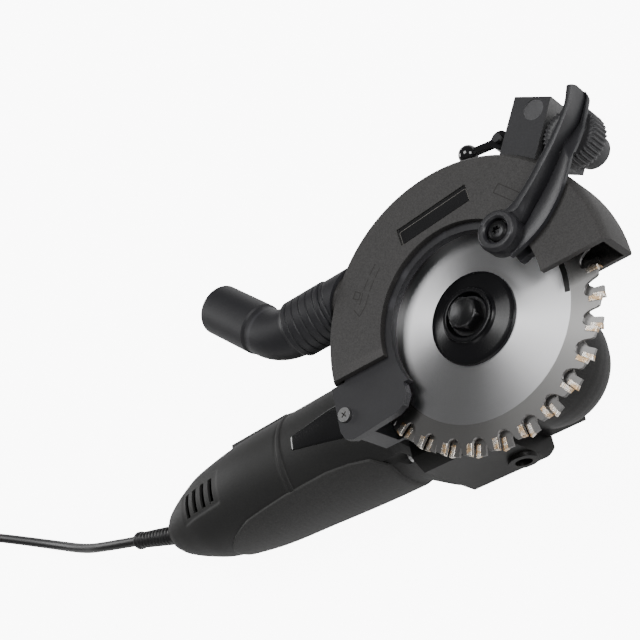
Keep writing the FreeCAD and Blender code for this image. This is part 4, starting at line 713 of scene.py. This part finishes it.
def brushed_disc(name, brushed_to, bright, ring):
    """Steel brushed in circles up to a radius, and evenly ground outside it."""
    made, tree, shader = new_material(name, bright, 0.45, 1.0, Anisotropic=0.92,
                                      Anisotropic_Rotation=0.25)
    where = add(tree, "TexCoord").outputs["Object"]
    flat = add(tree, "VectorMath", {0: where}, operation="MULTIPLY")
    flat.inputs[1].default_value = (1, 1, 0)
    reach = add(tree, "VectorMath", {0: flat.outputs[0]}, operation="LENGTH").outputs["Value"]
    lines = add(tree, "TexNoise", {"W": reach}, noise_dimensions="1D", Scale=5200.0, Detail=4.0,
                Roughness=0.7).outputs["Fac"]
    stain = add(tree, "TexNoise", {"Vector": where}, Scale=42.0, Detail=4.0)
    outside = add(tree, "MapRange", {"Value": reach}, From_Min=brushed_to - 0.00005,
                  From_Max=brushed_to + 0.00005).outputs[0]
    tone = add(tree, "Mix", {"Factor": outside}, data_type="RGBA", A=(*bright, 1), B=(*ring, 1))
    cloud = scaled(tree, stain.outputs["Fac"], 0.10, scaled(tree, lines, 0.34, 0.80))
    tinted = add(tree, "VectorMath", {0: tone.outputs["Result"], "Scale": cloud},
                 operation="SCALE")
    gloss = scaled(tree, lines, 0.08, scaled(tree, outside, 0.14, 0.38))
    groove = add(tree, "Bump", {"Height": lines}, Distance=0.000006)
    direction = add(tree, "Tangent", direction_type="RADIAL", axis="Z")
    wire(tree, shader, Base_Color=tinted.outputs[0], Roughness=gloss,
         Normal=groove.outputs["Normal"], Tangent=direction.outputs[0])
    return made


blade_steel = brushed_disc("brushed_blade_steel", 0.0444, (0.62, 0.62, 0.63), (0.36, 0.355, 0.35))
TEETH, PHASE, PITCH = 28, 8.9, 360 / 28
# One tooth, from its upright face round the gullet to the next tooth's back: degrees, radius.
tooth = np.array([(0.0, 56.9), (0.1, 52.4), (0.7, 51.0), (1.8, 50.4), (3.4, 50.3), (5.0, 50.9),
                  (6.3, 52.2), (7.2, 54.0), (7.8, 55.8), (8.5, 56.7), (10.6, 57.0), (12.80, 57.0)])


def circles(angle, levels, centre=(0, 0)):
    """Rings of points round a centre, one for each radius, or array of radii, and height."""
    return np.array([np.c_[centre + polar(reach, angle), np.full(angle.shape, height)]
                     for reach, height in levels])


def toothed_disc(name, low, thick, bore, material):
    """A plate whose rim repeats one tooth: (r, angle + k pitch) for each of its teeth."""
    spread = np.radians(np.concatenate([PHASE + (tooth[:, 0] + PITCH * k) for k in range(TEETH)]))
    rim = np.tile(tooth[:, 1], TEETH)
    eased_rim = rim - 0.25 * np.clip((rim - 47.5) / 3, 0, 1) - 0.05
    # Each ring has a radius, and how far it sinks below both faces of the plate.
    rings = [(bore, 0.25), (bore + 0.3, 0), (14.0, 0), (24.0, 0), (34.0, 0), (44.4, 0), (47.5, 0),
             (eased_rim, 0), (rim, 0.18)]
    return between(name, circles(spread, [(reach, low + thick - sink) for reach, sink in rings]),
                   circles(spread, [(reach, low + sink) for reach, sink in rings]), material,
                   wrap=True, sharp=25)


outer = toothed_disc("outer_toothed_blade", 82.1, 1.4, 6.05, blade_steel)
placed(outer, "outer_blade_group", "blade_steel", "outer_blade")
dress(blade_steel, "inner_blade")

# A short black arc is printed on the outer disc.
ink = grained("printed_black", (0.006, 0.006, 0.006), 0.5, speck=0.1, grain=2500, edge=0.0)
arc = ribbon("printed_arc", polar(43.1, np.radians(np.linspace(-12, 9.5, 40))), 2.3, 83.45, 83.53,
             ink)
placed(arc, "outer_blade_group", "blade_steel")


def carbide_finish():
    """Ground carbide, bronze where the braze has flowed: two tones mixed by a coarse noise."""
    made, tree, shader = new_material("ground_carbide", (0.7, 0.62, 0.52), 0.22, 1.0)
    where = add(tree, "TexCoord").outputs["Object"]
    flow = add(tree, "TexNoise", {"Vector": where}, Scale=330.0, Detail=3.0).outputs["Fac"]
    edge = add(tree, "MapRange", {"Value": flow}, From_Min=0.42, From_Max=0.6)
    tone = add(tree, "Mix", {"Factor": edge.outputs[0]}, data_type="RGBA",
               A=(0.86, 0.82, 0.76, 1), B=(0.55, 0.38, 0.22, 1))
    lines = add(tree, "TexNoise", {"Vector": where}, Scale=4200.0, Detail=2.0)
    bump = add(tree, "Bump", {"Height": lines.outputs["Fac"]}, Distance=0.00002)
    wire(tree, shader, Base_Color=tone.outputs["Result"], Roughness=scaled(tree, flow, 0.3, 0.1),
         Normal=bump.outputs["Normal"])
    return made


dress(carbide_finish(), "outer_blade_tips", "inner_blade_tips")
softened(0.2, "outer_blade_tips", "inner_blade_tips")

# ---------------------------------------------------------------------------
# Blade clamp
# A polished black flange, dished like a cone with a raised boss, and a black oxide bolt
# whose hexagon head is chamfered and has a shallow dish on top.

chrome_black = grained("black_polished_flange", (0.008, 0.008, 0.009), 0.2, speck=0.05, grain=900,
                       depth=0.00001, drift=0.1, edge=0.3, Specular_IOR_Level=0.35)
oxide = grained("black_oxide", (0.028, 0.028, 0.029), 0.3, speck=0.25, grain=2600, depth=0.00004,
                drift=0.2, edge=0.5, metallic=0.7)
line = eased([(4.3, 83.5), (20, 83.5), (20, 85.0), (18.2, 85.7), (12.6, 87.4), (11.5, 88.2),
              (11.5, 89.7), (9.7, 89.7), (9.1, 86.5), (4.3, 86.5)],
             [0, 0.1, 0.5, 1.5, 1.0, 0.6, 0.5, 0.5, 0.6, 0], 5)
flange = spun("polished_flange", line, chrome_black, steps=144)
placed(flange, "outer_blade_group", "black_chrome", "outer_flange")
angle = np.linspace(0, 2 * np.pi, 181)[:-1]
hexagon = 6.5 / np.cos((angle + np.pi / 6) % (np.pi / 3) - np.pi / 6)
levels = [(4.02, 83.7), (4.02, 86.52), (8.5, 86.52), (8.6, 86.7), (8.6, 87.5), (8.4, 87.7),
          (hexagon - 0.15, 87.7), (np.minimum(hexagon - 0.05, 7.35), 91.9),
          (np.minimum(hexagon - 0.1, 6.75), 92.75), (6.3, 93.0), (5.2, 93.0), (4.8, 92.75),
          (0.02, 92.7)]
bolt = surface("hexagon_bolt", circles(angle, levels), oxide, wrap_columns=True, caps=True)
placed(bolt, "outer_blade_group", "bolt_steel", "blade_bolt")

# ---------------------------------------------------------------------------
# Wax feed
# A satin grey block holds the stick of cutting wax.  A ribbed thumb wheel beside it drives
# the stick, and a small lever with a glossy ball locks it.

CHAMBER_TURN = math.radians(57)
block_paint = grained("feed_block_paint", (0.026, 0.026, 0.029), 0.45, speck=0.2, grain=1700,
                      depth=0.00005, drift=0.2, edge=0.7)
gloss_black = grained("gloss_black_ball", (0.010, 0.010, 0.011), 0.12, speck=0.04, grain=700,
                      depth=0.000008, drift=0.08, edge=0.2, Coat_Weight=0.7, Coat_Roughness=0.05)
knob_black = grained("knob_plastic", (0.044, 0.044, 0.047), 0.42, speck=0.1, grain=1700,
                     depth=0.00003, drift=0.14, edge=0.5)
dress(block_paint, "stick_chamber")

# The side of the block that faces the wheel is painted in a paler grey: painted light for the lamp
# that falls on that side.
tree, shader = block_paint.node_tree, block_paint.node_tree.nodes["Principled BSDF"]
where = add(tree, "TexCoord").outputs["Object"]
facing = add(tree, "VectorMath", {0: add(tree, "NewGeometry").outputs["Normal"]},
             operation="DOT_PRODUCT")
facing.inputs[1].default_value = (math.sin(CHAMBER_TURN), -math.cos(CHAMBER_TURN), 0)
lit_side_mask = add(tree, "MapRange", {"Value": facing.outputs["Value"]}, From_Min=0.80, From_Max=0.95)
pores = add(tree, "TexNoise", {"Vector": where}, Scale=900.0, Detail=3.0)
painted_light_tone = add(tree, "MapRange", {"Value": pores.outputs["Fac"]}, To_Min=0.08, To_Max=0.2)
above = add(tree, "Math", {0: add(tree, "SeparateXYZ", {"Vector": where}).outputs["Z"]},
            operation="GREATER_THAN")
above.inputs[1].default_value = 0.0774
lit_side_mask = add(tree, "Math", {0: lit_side_mask.outputs[0], 1: above.outputs[0]}, operation="MULTIPLY")
# The painted light is mixed into the block's colour on that side, above a height.
blend = add(tree, "Mix", {"Factor": lit_side_mask.outputs[0], "B": painted_light_tone.outputs[0],
                          "A": shader.inputs["Base Color"].links[0].from_socket}, data_type="RGBA")
wire(tree, shader, Base_Color=blend.outputs["Result"])
softened(0.5, "stick_chamber")
dress(ground("turned_pin", (0.16, 0.16, 0.165), 0.34, scratches=0.3, along=2600), "chamber_pin")
softened(0.35, "chamber_pin")
dress(gloss_black, "ball_lever")
softened(0.7, "ball_lever")

# The thumb wheel stands beside the block, on the drum that pushes the stick.
along, across = 79.6, 25.3
knob_x = along * math.cos(CHAMBER_TURN) + across * math.sin(CHAMBER_TURN)
knob_y = along * math.sin(CHAMBER_TURN) - across * math.cos(CHAMBER_TURN)
RIBS = 36
angle = np.linspace(0, 2 * np.pi, RIBS * 12 + 1)[:-1]
rib = np.clip(np.cos(RIBS * angle) * 1.3, -1, 1) * 0.5 + 0.5
# Each level has a radius, a height and the share of the ribs' depth that shows there.
levels = [(3.0, 72.6, 0), (3.0, 77.6, 0), (10.6, 77.6, 0), (11.4, 77.9, 0.6), (12.15, 78.6, 1),
          (12.2, 79.4, 1), (12.2, 86.8, 1), (12.15, 87.5, 1), (11.4, 88.2, 0.6), (10.6, 88.45, 0),
          (7.6, 88.45, 0), (6.8, 87.7, 0), (0.02, 87.6, 0)]
rings = circles(angle, [(reach - 0.95 * share * (1 - rib), height)
                        for reach, height, share in levels], (knob_x, knob_y))
knob = surface("ribbed_thumb_wheel", rings, knob_black, wrap_columns=True, caps=True, sharp=50)
wheel = spun("feed_wheel", eased([(0.02, 69.4), (4.0, 69.4), (4.0, 74.4), (0.02, 74.4)],
                                 [0, 0.3, 0.3, 0]), knob_black, (knob_x, knob_y, 0), steps=48)
knob = joined("ribbed_thumb_wheel", [knob, wheel])
placed(knob, "knob", "lever_plastic", "feed_knob")

# ---------------------------------------------------------------------------
# Lever
# A long curved lever, moulded in satin black: a raised back, a sloping strap and a thin
# flange with a channel between them.  It turns on a screw in a deep round well.

lever_black = grained("lever_satin_plastic", (0.026, 0.026, 0.029), 0.36, speck=0.1, grain=1900,
                      depth=0.00003, drift=0.12, edge=0.7)
HUB = np.array([30.0, 18.5])


def flowing(points, count):
    """A smooth line through a few points: piecewise cubic in the length along them."""
    pts = np.asarray(points, float)
    run = np.r_[0, np.cumsum(np.linalg.norm(np.diff(pts, axis=0), axis=1))]
    slope = np.gradient(pts, run, axis=0)
    s = np.linspace(0, run[-1], count)
    k = np.clip(np.searchsorted(run, s) - 1, 0, len(run) - 2)
    h = (run[k + 1] - run[k])[:, None]
    t = ((s - run[k]) / h[:, 0])[:, None]
    return ((2 * t ** 3 - 3 * t ** 2 + 1) * pts[k] + (t ** 3 - 2 * t ** 2 + t) * h * slope[k]
            + (3 * t ** 2 - 2 * t ** 3) * pts[k + 1] + (t ** 3 - t ** 2) * h * slope[k + 1])


STEPS = 96
back = flowing([(29.0, 26.3), (37, 25.8), (43.6, 29.5), (54.5, 38.6), (63.9, 46.4), (72.0, 56.0),
                (75.8, 64.4)], STEPS)
ridge = flowing([(35.6, 23.6), (39.5, 22.6), (45.3, 26.4), (55.0, 34.4), (66.0, 44.6),
                 (74.2, 54.4), (78.0, 63.2)], STEPS)
strap = flowing([(36.8, 18.6), (38.8, 18.9), (46.4, 25.4), (57.0, 35.0), (68.0, 48.2),
                 (73.6, 55.6), (78.0, 62.6)], STEPS)
flange_line = flowing([(30.0, 8.4), (39.0, 10.8), (47.2, 14.8), (54.8, 21.0), (61.8, 29.2),
                       (68.2, 40.0), (72.8, 49.6), (76.4, 56.8), (79.0, 62.3)], STEPS)
span = np.linalg.norm(strap - HUB, axis=1)
low_z = np.interp(span, [12, 38, 44, 52, 80], [101.2, 97.6, 96.4, 91.2, 90.2])
high_z = np.interp(span, [8, 14, 30, 75], [104.6, 104.2, 103.6, 103.5])
inner_edge = flange_line + (strap - flange_line) * 0.80
sole = np.minimum(95.9, low_z - 1.2)
reach = np.linalg.norm(flange_line - HUB, axis=1)
flange_top = np.interp(reach, [10, 39, 52, 80], [99.2, 98.4, 92.4, 91.4])
flange_low = np.where(reach < 42, 95.9, np.maximum(flange_top - 2.4, 89.4))


def level(line, height, mix=None, share=0.0):
    """Points of a line at a height each, drawn towards a second line by a share."""
    plan = line if mix is None else line * (1 - share) + mix * share
    return np.concatenate([plan, np.broadcast_to(height, (STEPS,))[:, None]], -1)


loop = [level(back, sole), level(back, (sole + high_z) / 2), level(back, high_z - 0.8),
        level(back, high_z - 0.15, ridge, 0.14), level(back, high_z, ridge, 0.3),
        level(back, high_z, ridge, 0.75), level(ridge, high_z - 0.12),
        level(ridge, high_z - 0.9, strap, 0.2), level(ridge, (high_z + low_z) / 2, strap, 0.62),
        level(strap, low_z + 0.3, ridge, 0.06),
        level(strap, low_z - 0.3, inner_edge, 0.03),
        level(strap, np.minimum(np.minimum(low_z - 0.3, 97.0), flange_top - 1.3), inner_edge,
              0.12),
        level(strap, np.minimum(np.maximum(sole + 1.1, 96.8), flange_top - 1.2), inner_edge,
              0.85),
        level(inner_edge, flange_top - 0.4), level(inner_edge, flange_top, flange_line, 0.2),
        level(inner_edge, flange_top, flange_line, 0.8), level(flange_line, flange_top - 0.5),
        level(flange_line, flange_low + 0.5), level(flange_line, flange_low, inner_edge, 0.2),
        level(inner_edge, flange_low, strap, 0.1), level(strap, sole, inner_edge, 0.05)]
# The tip tapers: the last stations draw in towards their own middle.
rows = np.stack(loop, axis=1)
middle = rows.mean(axis=1, keepdims=True)
near_tip = np.clip((np.linspace(0, 1, STEPS) - 0.965) / 0.035, 0, 1)
shrink = np.sqrt(np.clip(1 - near_tip ** 2, 0.25, 1))
rows = middle + (rows - middle) * shrink[:, None, None]
arm = surface("lever_arm", rows, lever_black, wrap_columns=True, caps=True, sharp=40)
hub_line = eased([(3.06, 96.2), (8.2, 96.2), (9.0, 97.0), (9.0, 103.6), (8.0, 105.5), (5.9, 105.5),
                  (5.15, 104.6), (5.15, 102.1), (3.06, 102.1)],
                 [0, 0.3, 0.6, 1.2, 1.0, 0.5, 0.4, 0.2, 0], 5)
hub = spun("lever_hub", hub_line, lever_black, (HUB[0], HUB[1], 0))
lever = joined("curved_lever", [arm, hub])
placed(lever, "lever", "lever_plastic", "guard_lever")

# The lever's screw: a domed black head with a six-lobed drive.
angle = np.linspace(0, 2 * np.pi, 97)[:-1]
lobes = 1.55 + 0.28 * np.cos(6 * angle)
levels = [(3.0, 91.4), (3.0, 102.45), (4.4, 102.45), (4.55, 102.7), (4.4, 103.7), (3.6, 104.45),
          (2.6, 104.75), (lobes, 104.8), (lobes, 103.2), (0.02, 103.1)]
screw = surface("lobed_screw", circles(angle, levels, HUB), oxide, wrap_columns=True, caps=True)
placed(screw, "housing", "screw_steel", "lever_screw")

# ---------------------------------------------------------------------------
# Mains cord, strain relief and plug
# A round rubber flex, 5.6 mm thick and a little over two metres long.  It leaves the tail
# through a tapered sleeve, drops to the bench, and its spare length is wound in a neat coil.

rubber = grained("cord_rubber", (0.017, 0.017, 0.018), 0.42, speck=0.08, grain=900, depth=0.00002,
                 drift=0.12, edge=0.0)
exit_point = (-257.0, 7.7, 29.5)
route = [exit_point, (-287.0, 15.6, 26.5), (-318.0, 28.0, 13.0), (-352.0, 44.5, 3.0),
         (-404.0, 68.6, 2.9), (-440.0, 84.0, 2.9), (-470.0, 92.6, 2.9), (-496.0, 95.8, 2.9)]
tail = [(-491.0, 5.2, 7.9), (-474.0, 1.6, 6.4), (-458.0, -4.0, 6.0)]
coil_centre, ring, layer = (-510.0, 51.0), 5.62, 5.6
turns = np.linspace(0, 9.5, 153)[1:]
# Four turns spiral inwards on the bench, one climbs at the inside, and the rest spiral out.
inward = np.clip(turns, 0, 4)
outward = np.clip(turns - 5, 0, 4)
radius = 44.9 - ring * inward + ring * outward
height = 2.9 + layer * np.clip(turns - 4, 0, 1)
angle = math.pi / 2 + 2 * math.pi * turns
coil = np.c_[coil_centre + polar(radius, angle), height]
line = bpy.data.curves.new("mains_cord", "CURVE")
line.dimensions, line.bevel_depth, line.bevel_resolution = "3D", 2.8 * MM, 4
line.resolution_u, line.use_fill_caps = 6, True
spline = line.splines.new("NURBS")
points = np.array([*route, *coil.tolist(), *tail])
spline.points.add(len(points) - 1)
spline.points.foreach_set("co", np.c_[points * MM, np.ones(len(points))].ravel())
spline.order_u, spline.use_endpoint_u = 3, True
line.materials.append(rubber)
cord = bpy.data.objects.new("mains_cord", line)
bpy.context.collection.objects.link(cord)
placed(cord, "housing", "cord_rubber", "power_cord", "cord_coil")

# Strain relief: a tapered rubber sleeve with fine grooves that leans a little to one side.
lean = math.radians(14)
run = np.linspace(0, 32, 129)
reach = np.interp(run, [0, 2.4, 3.2, 28.5, 29.2, 31.2, 32], [5.5, 5.5, 5.2, 4.3, 4.8, 4.8, 4.4])
for k in range(9):
    reach = reach - 0.5 * np.exp(-((run - 6.0 - 2.5 * k) / 0.5) ** 4)
A = np.linspace(0, 2 * np.pi, 65)[:-1]


def leaning(radius):
    """Circles square to the leaning line, centred on it: (axis) + radius (side cos + up sin)."""
    middle = np.stack([-226 - run * math.cos(lean), run * math.sin(lean)], -1)
    across = np.array([math.sin(lean), math.cos(lean)])
    flat = middle[:, None] + across * (radius[:, None] * np.cos(A))[..., None]
    return np.concatenate([flat, (AXIS + radius[:, None] * np.sin(A))[..., None]], -1)


relief = between("cord_sleeve", leaning(reach), leaning(0 * reach + 2.9), rubber, wrap=True)
placed(relief, "housing", "cord_rubber", "strain_relief")
dress(grained("plug_plastic", (0.014, 0.014, 0.015), 0.34, speck=0.12, grain=900,
              Coat_Weight=0.2), "plug")
dress(ground("pin_brass", (0.62, 0.52, 0.30), 0.25, scratches=0.2), "plug_pins")
softened(0.8, "plug")
softened(0.3, "plug_pins")
